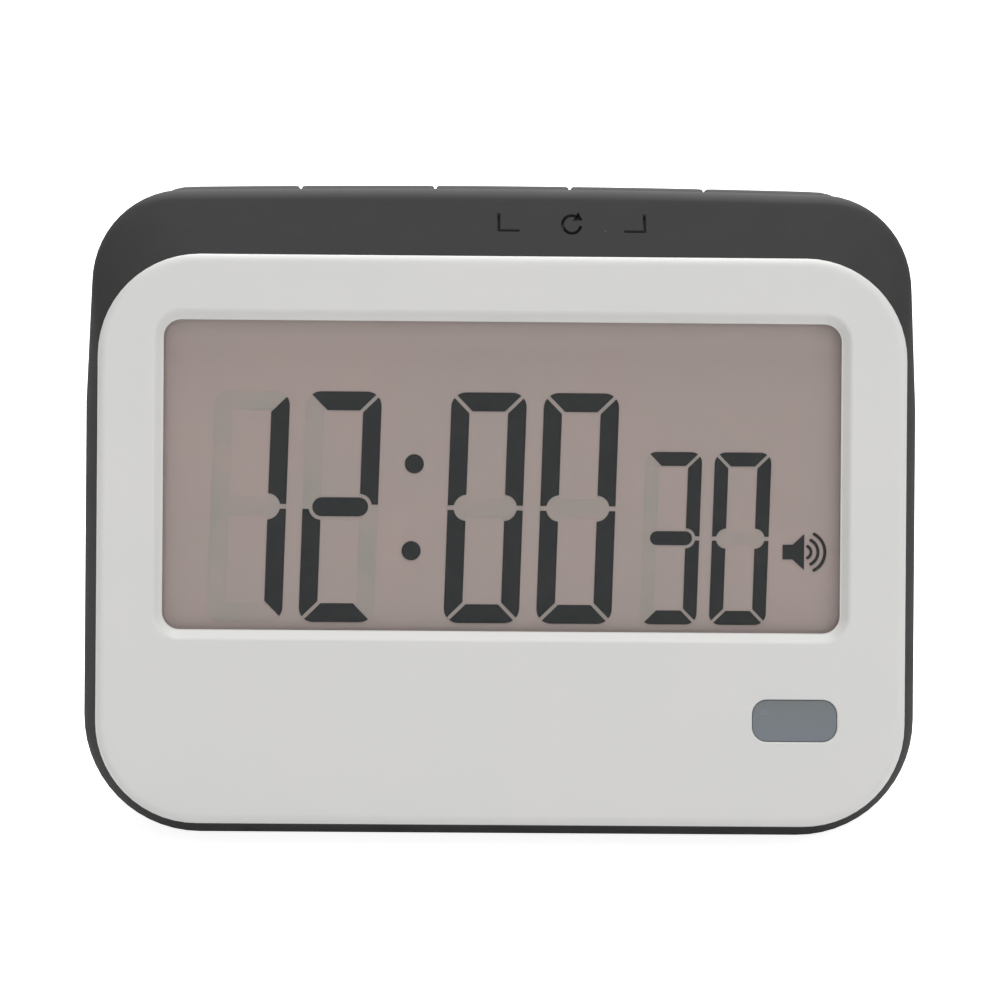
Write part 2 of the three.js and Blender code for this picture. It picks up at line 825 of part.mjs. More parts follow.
// Key row on the deck
const keyRow = 2 * (bodyHalf - keyRowInset);
const keyPitch = keyRow / keyNames.length;
const keyWidth = keyPitch - keyGap;
const keyFront = deckFront + keyFrontMargin;
const keyBack = keyFront + keyDepth;
const keyMiddle = (keyFront + keyBack) / 2;
const crownHalf = bodyHalf - sideTaper - topCorner;
const keyFlangeTop = deckRise - shellWall - keyFlangeDrop;
const keyFlangeLow = keyFlangeTop - keyFlange;
const keyStemLow = keyFlangeLow - keyStemLength;
const plungerTop = keyStemLow - fit;
const switchTop = plungerTop - plungerReach;
const switchLow = switchTop - switchHeight;
const keyBoardTop = switchLow - layerGap;
const keyBoardLow = keyBoardTop - boardThickness;
const keyBossX = keyRow / 2 + 3 * fit + bossRadius;

// Battery bay in the stand frame
const cellRadius = cellDiameter / 2;
const contactRoom = layerGap + contactThickness;
const bayLength = cellLength + springLength + 2 * (contactRoom + fit);
const bayHalf = bayLength / 2;
const bayHeight = 2 * cellDiameter + 3 * cellGap;
const bayDepth = cellDiameter + 2 * cellGap;
const bayTop = bayLift + bayHeight;
const doorSeat = backY - doorThickness - fit;
const bayFront = doorSeat - bayDepth;
const cellY = doorSeat - cellGap - cellRadius;
const lowerCellZ = bayLift + cellGap + cellRadius;
const upperCellZ = lowerCellZ + cellDiameter + cellGap;
const tabZ = { positive: upperCellZ, negative: lowerCellZ };
const doorLow = bayLift - doorLedge + fit;
const doorTop = bayTop + doorLedge - fit;
const doorHalf = bayHalf + doorLedge - fit;
const doorTabLow = doorLow - doorTabReach;

// Base pad in the stand frame, under the flat of the base
const padHalf = bodyHalf - baseCorner - padMargin;
const padFront = facePoint(0, baseDepth, -bottomRise).y + padMargin;
const padBack = backLoopY - padMargin;
const padTop = padThickness - padProud;

// Sounder in the stand frame
const ringFront = backY - shellWall - ringHeight;
const ringOuter = buzzerRadius + ringWall / 2;

// Rear shell: cup with the key slot, the battery bay, screw posts, sounder ring and sound holes
function makeRearShell() {
  const outer = makeShellOuter();
  const hollow = cut(outer, makeShellCavity());
  const postFront = lipBack + fit;
  const farBack = backY + through;
  const bayWalls = box(
    -bayHalf - bayWall,
    bayHalf + bayWall,
    bayFront - bayWall,
    backY - shellWall / 2,
    bayLift - bayWall,
    bayTop + bayWall,
  );
  const ringBar = barAlongY(0, buzzerLift, ringOuter, ringFront, backY - shellWall / 2, 2 * roundSides);
  const ringBore = barAlongY(0, buzzerLift, ringOuter - ringWall, ringFront - through, backY - shellWall);
  const features = [bayWalls, cut(ringBar, ringBore)];
  const tools = [
    box(-bayHalf, bayHalf, bayFront, farBack, bayLift, bayTop),
    box(-doorHalf - fit, doorHalf + fit, doorSeat, farBack, doorLow - fit, doorTop + fit),
    box(-padHalf - fit, padHalf + fit, padFront - fit, padBack + fit, -through, padTop + layerGap),
  ];
  for (const side of [-1, 1]) {
    features.push(common(leaned(barAlongY(side * postX, postRise, postRadius, postFront, farBack)), outer));
    const holeRadius = caseScrew.shank + fit;
    const hole = barAlongY(side * postX, postRise, holeRadius, postFront - through, farBack, smallSides);
    const wellRadius = caseScrew.head + fit;
    tools.push(leaned(hole), leaned(barAlongY(side * postX, postRise, wellRadius, caseSeat, 2 * farBack)));
    const bossX = side * keyBossX;
    const boss = barAlongZ(bossX, keyMiddle, bossRadius, keyBoardTop + layerGap, deckRise);
    features.push(common(leaned(boss), outer));
    const pilotTop = keyBoardLow + boardScrew.length + fit;
    const pilotRadius = boardScrew.shank + fit;
    tools.push(leaned(barAlongZ(bossX, keyMiddle, pilotRadius, keyBoardTop - through, pilotTop, smallSides)));
    const tabX = (side * doorTabSpacing) / 2;
    const slotHalf = doorTabWidth / 2 + fit;
    const slotFront = backY - shellWall - doorTabSwing;
    const slotLow = doorTabLow - 2 * fit;
    tools.push(box(tabX - slotHalf, tabX + slotHalf, slotFront, backY - shellWall, slotLow, bayLift + fit));
  }
  const keySlot = box(
    -keyRow / 2 - fit,
    keyRow / 2 + fit,
    keyFront - fit,
    keyBack + fit,
    deckRise - shellWall - through,
    deckRise + crownRise + through,
  );
  tools.push(leaned(keySlot));
  const tabHalf = tabWidth / 2 + fit;
  for (const z of Object.values(tabZ)) {
    const slotEnd = -bayHalf + contactRoom + fit;
    const slotFront = bayFront - bayWall - through;
    tools.push(box(-bayHalf, slotEnd, slotFront, bayFront + through, z - tabHalf, z + tabHalf));
  }
  tools.push(barAlongY(0, buzzerLift, soundHoleRadius, ringFront, farBack, smallSides));
  for (let i = 0; i < soundHoleCount; i += 1) {
    const angle = (2 * Math.PI * i) / soundHoleCount;
    const x = soundHoleCircle * Math.cos(angle);
    const z = buzzerLift + soundHoleCircle * Math.sin(angle);
    tools.push(barAlongY(x, z, soundHoleRadius, ringFront, farBack, smallSides));
  }
  const notch = new THREE.CylinderGeometry(fingerNotchRadius, fingerNotchRadius, fingerNotchWidth, roundSides)
    .rotateZ(Math.PI / 2)
    .translate(0, backY + fingerNotchRadius - fingerNotchDepth, doorTop);
  tools.push(notch);
  return cut(join(hollow, ...features), ...tools);
}

addPiece(stand, 'rear_shell', makeRearShell(), darkSoftTouch());
addPiece(stand, 'base_pad', box(-padHalf, padHalf, padFront, padBack, -padProud, padTop), padRubber());
[-1, 1].forEach((side, i) => {
  const piece = addPiece(face, `case_screw_${i + 1}`, screw(caseScrew), steel());
  piece.position.set(side * postX, caseSeat + layerGap, postRise);
});

// Keys: crowned caps with a retaining flange and a stem over the switch

function crownAt(x) {
  return crownRise * (1 - Math.min(1, (x / crownHalf) ** 2));
}

function keyLoop(centreX, inset, rise, crowned) {
  const half = keyWidth / 2 - inset;
  const corner = keyCorner - inset;
  const points = outline({
    half,
    low: keyFront + inset,
    top: keyBack - inset,
    lowCorner: corner,
    highCorner: corner,
    steps: smallCornerSteps,
  });
  return points.map(([x, depth]) => {
    const place = centreX + x;
    return new THREE.Vector3(place, depth, rise + (crowned ? crownAt(place) : 0));
  });
}

function makeKey(centreX) {
  const top = deckRise + keyProud;
  const edgeLoops = quarter(innerRoundSteps).map((angle) =>
    keyLoop(centreX, keyEdge * (1 - Math.cos(angle)), top - keyEdge * (1 - Math.sin(angle)), true));
  const cap = loft([keyLoop(centreX, 0, keyFlangeTop - layerGap, false), ...edgeLoops]);
  const flange = box(
    centreX - keyWidth / 2,
    centreX + keyWidth / 2,
    keyFront - keyFlange,
    keyBack + keyFlange,
    keyFlangeLow,
    keyFlangeTop,
  );
  const stem = barAlongZ(centreX, keyMiddle, keyStemRadius, keyStemLow, keyFlangeLow + layerGap);
  return join(cap, flange, stem);
}

function makeSwitchBody(centreX) {
  const half = switchSize / 2;
  const block = box(centreX - half, centreX + half, keyMiddle - half, keyMiddle + half, switchLow, switchTop);
  const boreLow = switchTop - plungerDepth - keyTravel - fit;
  return cut(block, barAlongZ(centreX, keyMiddle, plungerRadius + fit, boreLow, switchTop + through));
}

keyNames.forEach((name, i) => {
  const centreX = (i - (keyNames.length - 1) / 2) * keyPitch;
  const plunger = barAlongZ(centreX, keyMiddle, plungerRadius, switchTop - plungerDepth, plungerTop);
  addPiece(face, `key_${name}`, makeKey(centreX), keyRubber());
  addPiece(face, `switch_body_${name}`, makeSwitchBody(centreX), blackPlastic());
  addPiece(face, `switch_plunger_${name}`, plunger, blackPlastic());
});

// Key board, its screws and its ribbon
const keyBoardHalf = keyBossX + keyBoardEdge;
const keyBoardFront = keyMiddle - switchSize;
const keyBoardBack = keyMiddle + switchSize;

function makeKeyBoard() {
  const blank = box(-keyBoardHalf, keyBoardHalf, keyBoardFront, keyBoardBack, keyBoardLow, keyBoardTop);
  const holeRadius = boardScrew.shank + fit;
  const holes = [-1, 1].map((side) =>
    barAlongZ(side * keyBossX, keyMiddle, holeRadius, keyBoardLow - through, keyBoardTop + through));
  return cut(blank, ...holes);
}

addPiece(face, 'key_board', makeKeyBoard(), boardGreen());
[-1, 1].forEach((side, i) => {
  const piece = addPiece(face, `key_board_screw_${i + 1}`, screw(boardScrew), steel());
  piece.rotation.x = -Math.PI / 2;
  piece.position.set(side * keyBossX, keyMiddle, keyBoardLow - layerGap);
});

function makeRibbon() {
  const start = new THREE.Vector2(keyBoardFront + ribbonInset, keyBoardLow - fit);
  const end = new THREE.Vector2(boardBack + fit, boardTop - ribbonDrop);
  const path = new THREE.CubicBezierCurve(
    start,
    new THREE.Vector2(start.x, start.y - ribbonSlack),
    new THREE.Vector2(end.x + ribbonSlack, end.y),
    end,
  );
  const left = [];
  const right = [];
  for (let i = 0; i <= ribbonSteps; i += 1) {
    const point = path.getPoint(i / ribbonSteps);
    const tangent = path.getTangent(i / ribbonSteps);
    const side = new THREE.Vector2(-tangent.y, tangent.x).multiplyScalar(ribbonThickness / 2);
    left.push([point.x + side.x, point.y + side.y]);
    right.unshift([point.x - side.x, point.y - side.y]);
  }
  return sideProfile([...left, ...right], 0, ribbonWidth);
}

addPiece(face, 'key_ribbon', makeRibbon(), displayFilm());

// Battery cells, contacts and door

function makeCell() {
  const body = cellLength - cellNubLength;
  const profile = [
    [0, 0],
    [cellRadius - cellEdge, 0],
    [cellRadius, cellEdge],
    [cellRadius, body - cellEdge],
    [cellRadius - cellEdge, body],
    [cellNubRadius, body],
    [cellNubRadius, cellLength],
    [0, cellLength],
  ];
  return new THREE.LatheGeometry(profile.map(([r, y]) => new THREE.Vector2(r, y)), cellSides);
}

const nubEnd = bayHalf - contactRoom - fit;
const upperCell = makeCell().rotateZ(Math.PI / 2).translate(cellLength - nubEnd, cellY, upperCellZ);
const lowerCell = makeCell().rotateZ(-Math.PI / 2).translate(nubEnd - cellLength, cellY, lowerCellZ);
addPiece(stand, 'battery_cell_upper', upperCell, cellSleeve());
addPiece(stand, 'battery_cell_lower', lowerCell, cellSleeve());

// Centre line of a conical spring along +x, standing on the plate at x = 0.
function springPoints() {
  const steps = Math.round(springTurns * springSteps);
  const reach = springLength - springWire / 2 - fit;
  const points = [];
  for (let i = 0; i <= steps; i += 1) {
    const share = i / steps;
    const angle = 2 * Math.PI * springTurns * share;
    const radius = THREE.MathUtils.lerp(springBaseRadius, springTipRadius, share);
    points.push(new THREE.Vector3(reach * share, radius * Math.cos(angle), radius * Math.sin(angle)));
  }
  return points;
}

function makeSpring() {
  const centres = springPoints();
  const loops = centres.map((centre, i) => {
    const ahead = centres[Math.min(i + 1, centres.length - 1)];
    const behind = centres[Math.max(i - 1, 0)];
    const tangent = ahead.clone().sub(behind).normalize();
    const out = new THREE.Vector3(0, centre.y, centre.z).normalize();
    const up = new THREE.Vector3().crossVectors(tangent, out).normalize();
    const loop = [];
    for (let k = 0; k < springSides; k += 1) {
      const angle = (2 * Math.PI * k) / springSides;
      const offset = out.clone().multiplyScalar(Math.cos(angle)).addScaledVector(up, Math.sin(angle));
      loop.push(centre.clone().addScaledVector(offset, springWire / 2));
    }
    return loop;
  });
  return loft(loops);
}

function springLeastGap() {
  const centres = springPoints();
  let least = Infinity;
  centres.forEach((point, i) => {
    const beyond = centres.slice(i + springSteps / 2 + 1);
    for (const other of beyond) least = Math.min(least, point.distanceTo(other));
  });
  return least - springWire;
}

console.log(`spring least gap to itself ${springLeastGap().toFixed(2)} mm`);

// A contact plate on the inner side of the bay's left end, about its cells' heights.
function contactPlate(lowZ, topZ) {
  const x0 = -bayHalf + layerGap;
  return box(x0, x0 + contactThickness, cellY - contactSize / 2, cellY + contactSize / 2, lowZ, topZ);
}

function solderTab(z) {
  const x0 = -bayHalf + layerGap;
  const tip = bayFront - bayWall - tabReach;
  return box(x0, x0 + contactThickness, tip, cellY, z - tabWidth / 2, z + tabWidth / 2);
}

function springAt(z) {
  return makeSpring().translate(-bayHalf + layerGap + contactThickness, cellY, z);
}

const plateHalf = contactSize / 2;
const positive = join(contactPlate(upperCellZ - plateHalf, upperCellZ + plateHalf), solderTab(tabZ.positive));
const negativePlate = contactPlate(lowerCellZ - plateHalf, lowerCellZ + plateHalf);
const negative = join(negativePlate, solderTab(tabZ.negative), springAt(lowerCellZ));
const bridgePlate = contactPlate(lowerCellZ - plateHalf, upperCellZ + plateHalf);
const bridge = join(bridgePlate, springAt(lowerCellZ))
  .rotateY(Math.PI)
  .translate(0, 0, lowerCellZ + upperCellZ);
addPiece(stand, 'contact_positive', positive, steel());
addPiece(stand, 'contact_negative', negative, steel());
addPiece(stand, 'contact_bridge', bridge, steel());

// The door's lower edge is cut back so that it swings about its outer lower corner.
function makeDoor() {
  const inner = backY - doorThickness;
  const slab = sideProfile(
    [
      [backY, doorLow],
      [backY, doorTop],
      [inner, doorTop],
      [inner, doorLow + doorThickness],
    ],
    0,
    2 * doorHalf,
  );
  const tabOuter = backY - shellWall - fit;
  const tabInner = tabOuter - doorTabThickness;
  const tabStep = doorLow + doorThickness + layerGap;
  const tabTop = tabStep + doorTabRoot;
  const tabProfile = [
    [tabInner, doorTabLow],
    [tabOuter, doorTabLow],
    [tabOuter, tabStep],
    [inner + layerGap, tabStep],
    [inner + layerGap, tabTop],
    [tabInner, tabTop],
  ];
  const tongueTop = bayTop - cellGap - layerGap;
  const tongue = box(
    -doorTongueWidth / 2,
    doorTongueWidth / 2,
    inner - doorTongueReach,
    inner + layerGap,
    tongueTop - doorTongueThickness,
    tongueTop,
  );
  const tabs = [-1, 1].map((side) => sideProfile(tabProfile, (side * doorTabSpacing) / 2, doorTabWidth));
  return join(slab, tongue, ...tabs);
}

addPiece(stand, 'battery_door', makeDoor(), darkSoftTouch());

// Sounder: brass disc on the shell's ring with its ceramic element
const discBack = ringFront - layerGap;
const discFront = discBack - buzzerThickness;
const elementBack = discFront - layerGap;
const elementFront = elementBack - elementThickness;
const disc = barAlongY(0, buzzerLift, buzzerRadius, discFront, discBack, 2 * roundSides);
const element = barAlongY(0, buzzerLift, elementRadius, elementFront, elementBack, roundSides);
addPiece(stand, 'buzzer_disc', disc, brass());
addPiece(stand, 'buzzer_element', element, ceramic());

// Leads from the contacts and the sounder to the back of the main board

function boardLanding(x, rise) {
  return facePoint(x, boardBack + fit, rise);
}

function makeLead(start, end) {
  const first = start.clone().add(new THREE.Vector3(0, -leadBend, 0));
  const out = new THREE.Vector3(0, Math.cos(lean), -Math.sin(lean)).multiplyScalar(leadBend);
  const last = end.clone().add(out);
  return wire([start, first, last, end]);
}

const tabTip = bayFront - bayWall - tabReach - fit;
const tabX = -bayHalf + layerGap + contactThickness / 2;
const redStart = new THREE.Vector3(tabX, tabTip, tabZ.positive);
const blackStart = new THREE.Vector3(tabX, tabTip, tabZ.negative);
const elementTap = new THREE.Vector3(elementRadius / 2, elementFront - fit, buzzerLift);
const discTap = new THREE.Vector3((elementRadius + buzzerRadius) / 2, discFront - fit, buzzerLift);
const redLanding = boardLanding(-leadLandingX, windowLow + leadSpacing);
const blackLanding = boardLanding(-leadLandingX, windowLow);
const elementLanding = boardLanding(leadSpacing, windowTop - 2 * leadSpacing);
const discLanding = boardLanding(2 * leadSpacing, windowTop - 2 * leadSpacing);
addPiece(stand, 'battery_lead_red', makeLead(redStart, redLanding), redWire());
addPiece(stand, 'battery_lead_black', makeLead(blackStart, blackLanding), blackWire());
addPiece(stand, 'buzzer_lead_red', makeLead(elementTap, elementLanding), redWire());
addPiece(stand, 'buzzer_lead_black', makeLead(discTap, discLanding), blackWire());

// Origin at the middle of the footprint on the table, under the pad
timer.updateMatrixWorld(true);
const bounds = new THREE.Box3().setFromObject(stand, true);
stand.position.set(0, -(bounds.min.y + bounds.max.y) / 2, padProud);

export default timer;
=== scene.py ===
import json
import math
from functools import partial

import bpy
from mathutils import Matrix, Vector


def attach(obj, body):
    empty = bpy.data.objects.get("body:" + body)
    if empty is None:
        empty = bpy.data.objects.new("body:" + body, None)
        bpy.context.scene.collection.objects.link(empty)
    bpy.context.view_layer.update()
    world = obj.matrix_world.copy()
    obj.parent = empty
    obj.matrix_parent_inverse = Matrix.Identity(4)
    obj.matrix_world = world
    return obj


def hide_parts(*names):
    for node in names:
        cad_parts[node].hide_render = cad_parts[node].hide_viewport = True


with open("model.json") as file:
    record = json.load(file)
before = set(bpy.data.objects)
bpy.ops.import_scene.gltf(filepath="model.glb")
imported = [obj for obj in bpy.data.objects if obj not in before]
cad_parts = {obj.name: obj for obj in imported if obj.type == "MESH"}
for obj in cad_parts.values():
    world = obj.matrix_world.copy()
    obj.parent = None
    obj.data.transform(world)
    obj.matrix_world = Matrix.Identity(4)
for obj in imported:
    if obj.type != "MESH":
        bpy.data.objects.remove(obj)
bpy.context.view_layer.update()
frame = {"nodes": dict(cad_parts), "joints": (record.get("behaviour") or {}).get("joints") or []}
nodes = frame["nodes"]
scene = bpy.context.scene
print("frame loaded with", len(nodes), "nodes")

# Lengths are in millimetres while a piece is modelled. The face frame leans back with the bezel:
# x right, y depth behind the bezel's front, z rise along it. The stand frame is upright.
toMetres = 0.001
fit = 0.3  # room between pieces that go into each other
layer = 0.1  # gap or overlap of pieces that lie on each other
parting = 0.3  # gap between the bezel and the shell
through = 1.0  # how far a cutter runs past what it cuts
weld = 0.001
smoothAngle = math.radians(32)
alongX = (1, 0, 0)
alongY = (0, 1, 0)
alongZ = (0, 0, 1)
bothSides = (-1, 1)
fourCorners = ((-1, -1), (1, -1), (1, 1), (-1, 1))
stance = {"baseDepth": 11.5, "bottomRise": 2.0, "sideRise": 2.4}

pressJoint = next(joint for joint in frame["joints"] if joint["name"] == "mode_press")
lean = math.atan2(-pressJoint["axis"][1], -pressJoint["axis"][2])
leanTurn = Matrix.Rotation(-lean, 4, "X")
depthAxis = leanTurn.to_3x3() @ Vector(alongY)
riseAxis = leanTurn.to_3x3() @ Vector(alongZ)
flatBezel = [leanTurn.inverted() @ vertex.co for vertex in nodes["front_bezel"].data.vertices]
faceOrigin = leanTurn @ Vector((0, min(p.y for p in flatBezel), min(p.z for p in flatBezel)))
faceLift = stance["baseDepth"] * math.sin(lean) + stance["bottomRise"] * math.cos(lean)
standOrigin = faceOrigin - Vector((0, 0, faceLift * toMetres))
facePlace = Matrix.Translation(faceOrigin) @ leanTurn @ Matrix.Scale(toMetres, 4)
standPlace = Matrix.Translation(standOrigin) @ Matrix.Scale(toMetres, 4)
leanInStand = Matrix.Translation((0, 0, faceLift)) @ leanTurn


# Modelling steps

def makeActive(piece):
    bpy.ops.object.select_all(action="DESELECT")
    piece.select_set(True)
    bpy.context.view_layer.objects.active = piece


def newest(name):
    piece = bpy.context.object
    piece.name = name
    return piece


def applyPlace(piece, place):
    makeActive(piece)
    piece.matrix_world = place
    bpy.ops.object.transform_apply(location=True, rotation=True, scale=True)
    return piece


def edited(piece, *steps):  # each step works on the whole mesh in edit mode
    makeActive(piece)
    bpy.ops.object.mode_set(mode="EDIT")
    for step in steps:
        bpy.ops.mesh.select_all(action="SELECT")
        step()
    bpy.ops.object.mode_set(mode="OBJECT")
    return piece


faceOut = partial(bpy.ops.mesh.normals_make_consistent, inside=False)


def loft(name, loops):  # a filled circle, extruded once for each loop and drawn out to the loops
    bpy.ops.mesh.primitive_circle_add(vertices=len(loops[0]), radius=1, fill_type="NGON")
    piece = newest(name)

    def extrude():
        for _ in loops[1:]:
            bpy.ops.mesh.extrude_region_move(TRANSFORM_OT_translate={"value": alongZ})

    edited(piece, extrude)
    for vertex, point in zip(piece.data.vertices, [point for loop in loops for point in loop]):
        vertex.co = point
    return edited(piece, faceOut)


def block(name, low, high):
    middle = [(a + b) / 2 for a, b in zip(low, high)]
    size = [b - a for a, b in zip(low, high)]
    bpy.ops.mesh.primitive_cube_add(size=1, location=middle, scale=size)
    piece = newest(name)
    makeActive(piece)
    bpy.ops.object.transform_apply(location=True, rotation=True, scale=True)
    return piece


def bevelEdges(piece, test, offset, segments):  # test takes both ends of an edge
    makeActive(piece)
    bpy.ops.object.mode_set(mode="EDIT")
    bpy.ops.mesh.select_mode(type="EDGE")
    bpy.ops.mesh.select_all(action="DESELECT")
    bpy.ops.object.mode_set(mode="OBJECT")
    for edge in piece.data.edges:
        edge.select = test(*[piece.data.vertices[i].co for i in edge.vertices])
    bpy.ops.object.mode_set(mode="EDIT")
    bpy.ops.mesh.bevel(offset=offset, segments=segments, profile=0.5, affect="EDGES")
    bpy.ops.mesh.select_mode(type="VERT")
    bpy.ops.object.mode_set(mode="OBJECT")


def runsAlong(axis, least):  # a test for edges that run along an axis
    return lambda a, b: abs(a[axis] - b[axis]) > least


def combine(operation, piece, *tools):
    for tool in tools:
        makeActive(piece)
        bpy.ops.object.modifier_add(type="BOOLEAN")
        change = piece.modifiers[-1]
        change.operation = operation
        change.solver = "MANIFOLD"
        change.object = tool
        bpy.ops.object.modifier_apply(modifier=change.name)
        bpy.data.objects.remove(tool, do_unlink=True)
    return piece


cut = partial(combine, "DIFFERENCE")
join = partial(combine, "UNION")
common = partial(combine, "INTERSECT")


def duplicate(piece, name):
    makeActive(piece)
    bpy.ops.object.duplicate()
    return newest(name)


def merge(name, parts):  # separate bodies kept in one mesh
    makeActive(parts[0])
    for part in parts[1:]:
        part.select_set(True)
    bpy.ops.object.join()
    return newest(name)


def finishPiece(piece, place, look, node=None, body="case"):
    applyPlace(piece, place)
    bpy.ops.object.shade_smooth_by_angle(angle=smoothAngle)
    bpy.ops.object.modifier_add(type="WEIGHTED_NORMAL")
    piece.modifiers[-1].keep_sharp = True
    bpy.ops.object.modifier_apply(modifier=piece.modifiers[-1].name)
    if look:
        piece.data.materials.clear()
        piece.data.materials.append(finishes[look])
    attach(piece, body)
    if node:
        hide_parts(node)


# Outlines

def arc(centre, radius, fromDegrees, toDegrees, steps):
    points = []
    for i in range(steps + 1):
        angle = math.radians(fromDegrees + (toDegrees - fromDegrees) * i / steps)
        points.append((centre[0] + radius * math.cos(angle), centre[1] + radius * math.sin(angle)))
    return points


def outline(half, low, top, lowCorner, highCorner, taper=0, taperFrom=0, crown=0, steps=8, across=2):
    straight = half - taper - highCorner
    points = arc((half - lowCorner, low + lowCorner), lowCorner, -90, 0, steps)
    if taperFrom:
        points.append((half, taperFrom))
    points += arc((straight, top - highCorner), highCorner, 0, 90, steps)
    for i in range(1, across):
        x = straight * (1 - 2 * i / across)
        points.append((x, top + crown * (1 - (x / straight) ** 2)))
    points += arc((-straight, top - highCorner), highCorner, 90, 180, steps)
    if taperFrom:
        points.append((-half, taperFrom))
    points += arc((lowCorner - half, low + lowCorner), lowCorner, 180, 270, steps)
    return points


def roundedLoop(centre, width, height, corner, depth, steps=8):
    points = outline(width / 2, -height / 2, height / 2, corner, corner, steps=steps)
    return [(centre[0] + x, depth, centre[1] + z) for x, z in points]


def quarter(steps):
    return [math.pi / 2 * i / steps for i in range(steps + 1)]


def quarterRound(steps):  # 1 - cos and 1 - sin over a rounded edge
    return [(1 - math.cos(a), 1 - math.sin(a)) for a in quarter(steps)]


def flareSteps(surface, flare, steps, end):  # spread and level of a hole that opens out to a surface
    return [(flare * c, surface - flare * s) for c, s in quarterRound(steps)] + [(flare, end)]


def mirrored(profile):
    return profile + [(radius, -distance) for radius, distance in reversed(profile)]


def turned(name, base, along, profile, sides=32):  # circles of (radius, distance) about an axis from base
    axis = Vector(along).normalized()
    across = axis.orthogonal().normalized()
    beside = axis.cross(across)
    angles = [2 * math.pi * i / sides for i in range(sides)]
    loops = []
    for radius, distance in profile:
        centre = Vector(base) + axis * distance
        loops.append([centre + (across * math.cos(a) + beside * math.sin(a)) * radius for a in angles])
    return loft(name, loops)


def rod(name, base, along, radius, start, end, sides=32):
    return turned(name, base, along, [(radius, start), (radius, end)], sides)


def prism(name, points, low, high):  # an outline in x and z, thickened along y
    return loft(name, [[(x, depth, z) for x, z in points] for depth in (low, high)])


def bar(name, points, low, high):  # an outline in y and z, thickened along x
    return loft(name, [[(x, y, z) for y, z in points] for x in (low, high)])


def blend(a, b, share):
    return a + (b - a) * share


def clamp(value):
    return min(1.0, max(0.0, value))


# Finishes

def linear(colour):
    shares = [value / 255 for value in colour]
    return [s / 12.92 if s <= 0.04045 else ((s + 0.055) / 1.055) ** 2.4 for s in shares] + [1.0]


def feed(tree, socket, value):  # a value, or the socket that it comes from
    if isinstance(value, bpy.types.NodeSocket):
        tree.links.new(value, socket)
    else:
        socket.default_value = value


def addNode(tree, kind, **inputs):
    node = tree.nodes.new("ShaderNode" + kind)
    for name, value in inputs.items():
        feed(tree, node.inputs[name], value)
    return node


def mixColours(tree, share, first, second):
    mixed = addNode(tree, "Mix")
    mixed.data_type = "RGBA"
    for index, value in ((0, share), (6, first), (7, second)):
        feed(tree, mixed.inputs[index], linear(value) if isinstance(value, tuple) else value)
    return mixed.outputs[2]


def ramp(tree, source, fromLow, fromHigh, toLow=0.0, toHigh=1.0):
    values = {"Value": source, "From Min": fromLow, "From Max": fromHigh, "To Min": toLow, "To Max": toHigh}
    return addNode(tree, "MapRange", **values).outputs["Result"]


noiseForm = {
    "patch": {"Detail": 3.0, "Roughness": 0.6}, "patchRange": (0.3, 0.7), "grain": {"Detail": 2.0},
    "relief": 0.00002, "stripeRange": (0.45, 0.55), "speckCore": 0.6,
}


def stripeShare(tree, place, values):  # bands across one axis, such as conductors or turns of wire
    wave = addNode(tree, "TexWave", Vector=place, Scale=values["scale"])
    wave.bands_direction = values["axis"]
    return ramp(tree, wave.outputs["Fac"], *noiseForm["stripeRange"])


def riseShare(tree, place, values):  # a slow change of colour with height
    height = addNode(tree, "SeparateXYZ", Vector=place).outputs["Z"]
    return ramp(tree, height, values["low"], values["high"])


def dustAndPaintedSheenShare(tree, place, values):  # lighter colour on what faces up: painted sheen along the top ridge and key fronts, partly dust
    facing = addNode(tree, "VectorMath")
    facing.operation = "DOT_PRODUCT"
    feed(tree, facing.inputs[0], addNode(tree, "TexCoord").outputs["Normal"])
    feed(tree, facing.inputs[1], (0, math.sin(lean), math.cos(lean)))
    return ramp(tree, facing.outputs["Value"], values["from"], 1.0)


def speckShare(tree, place, values):  # a few grains of dust
    cells = addNode(tree, "TexVoronoi", Vector=place, Scale=values["scale"])
    return ramp(tree, cells.outputs["Distance"], values["size"], values["size"] * noiseForm["speckCore"])


layerShares = {"stripes": stripeShare, "rise": riseShare, "dust": dustAndPaintedSheenShare, "specks": speckShare}


def makeFinish(name, look):
    colour, partner, mottleScale, roughness, grainScale, strength, special = look
    finish = bpy.data.materials.new(name)
    finish.use_nodes = True
    tree = finish.node_tree
    shader = tree.nodes["Principled BSDF"]
    place = addNode(tree, "TexCoord").outputs["Object"]
    grainPlace = place
    if "stretch" in special:  # grain drawn out along one axis, as on rolled metal
        grainPlace = addNode(tree, "Mapping", Vector=place, Scale=special["stretch"]).outputs["Vector"]
    mottle = addNode(tree, "TexNoise", Vector=grainPlace, Scale=mottleScale, **noiseForm["patch"])
    patches = mottle.outputs["Fac"]
    mixed = mixColours(tree, ramp(tree, patches, *noiseForm["patchRange"]), colour, partner)
    for kind, value in special.items():
        if kind in layerShares:
            mixed = mixColours(tree, layerShares[kind](tree, place, value), mixed, value["colour"])
        elif kind in shader.inputs:
            shader.inputs[kind].default_value = value
    grain = addNode(tree, "TexNoise", Vector=grainPlace, Scale=grainScale, **noiseForm["grain"])
    relief = special.get("relief", noiseForm["relief"])
    bump = addNode(tree, "Bump", Strength=strength, Distance=relief, Height=grain.outputs["Fac"])
    feed(tree, shader.inputs["Base Color"], mixed)
    feed(tree, shader.inputs["Roughness"], ramp(tree, patches, *noiseForm["patchRange"], *roughness))
    feed(tree, shader.inputs["Normal"], bump.outputs["Normal"])
    return finish


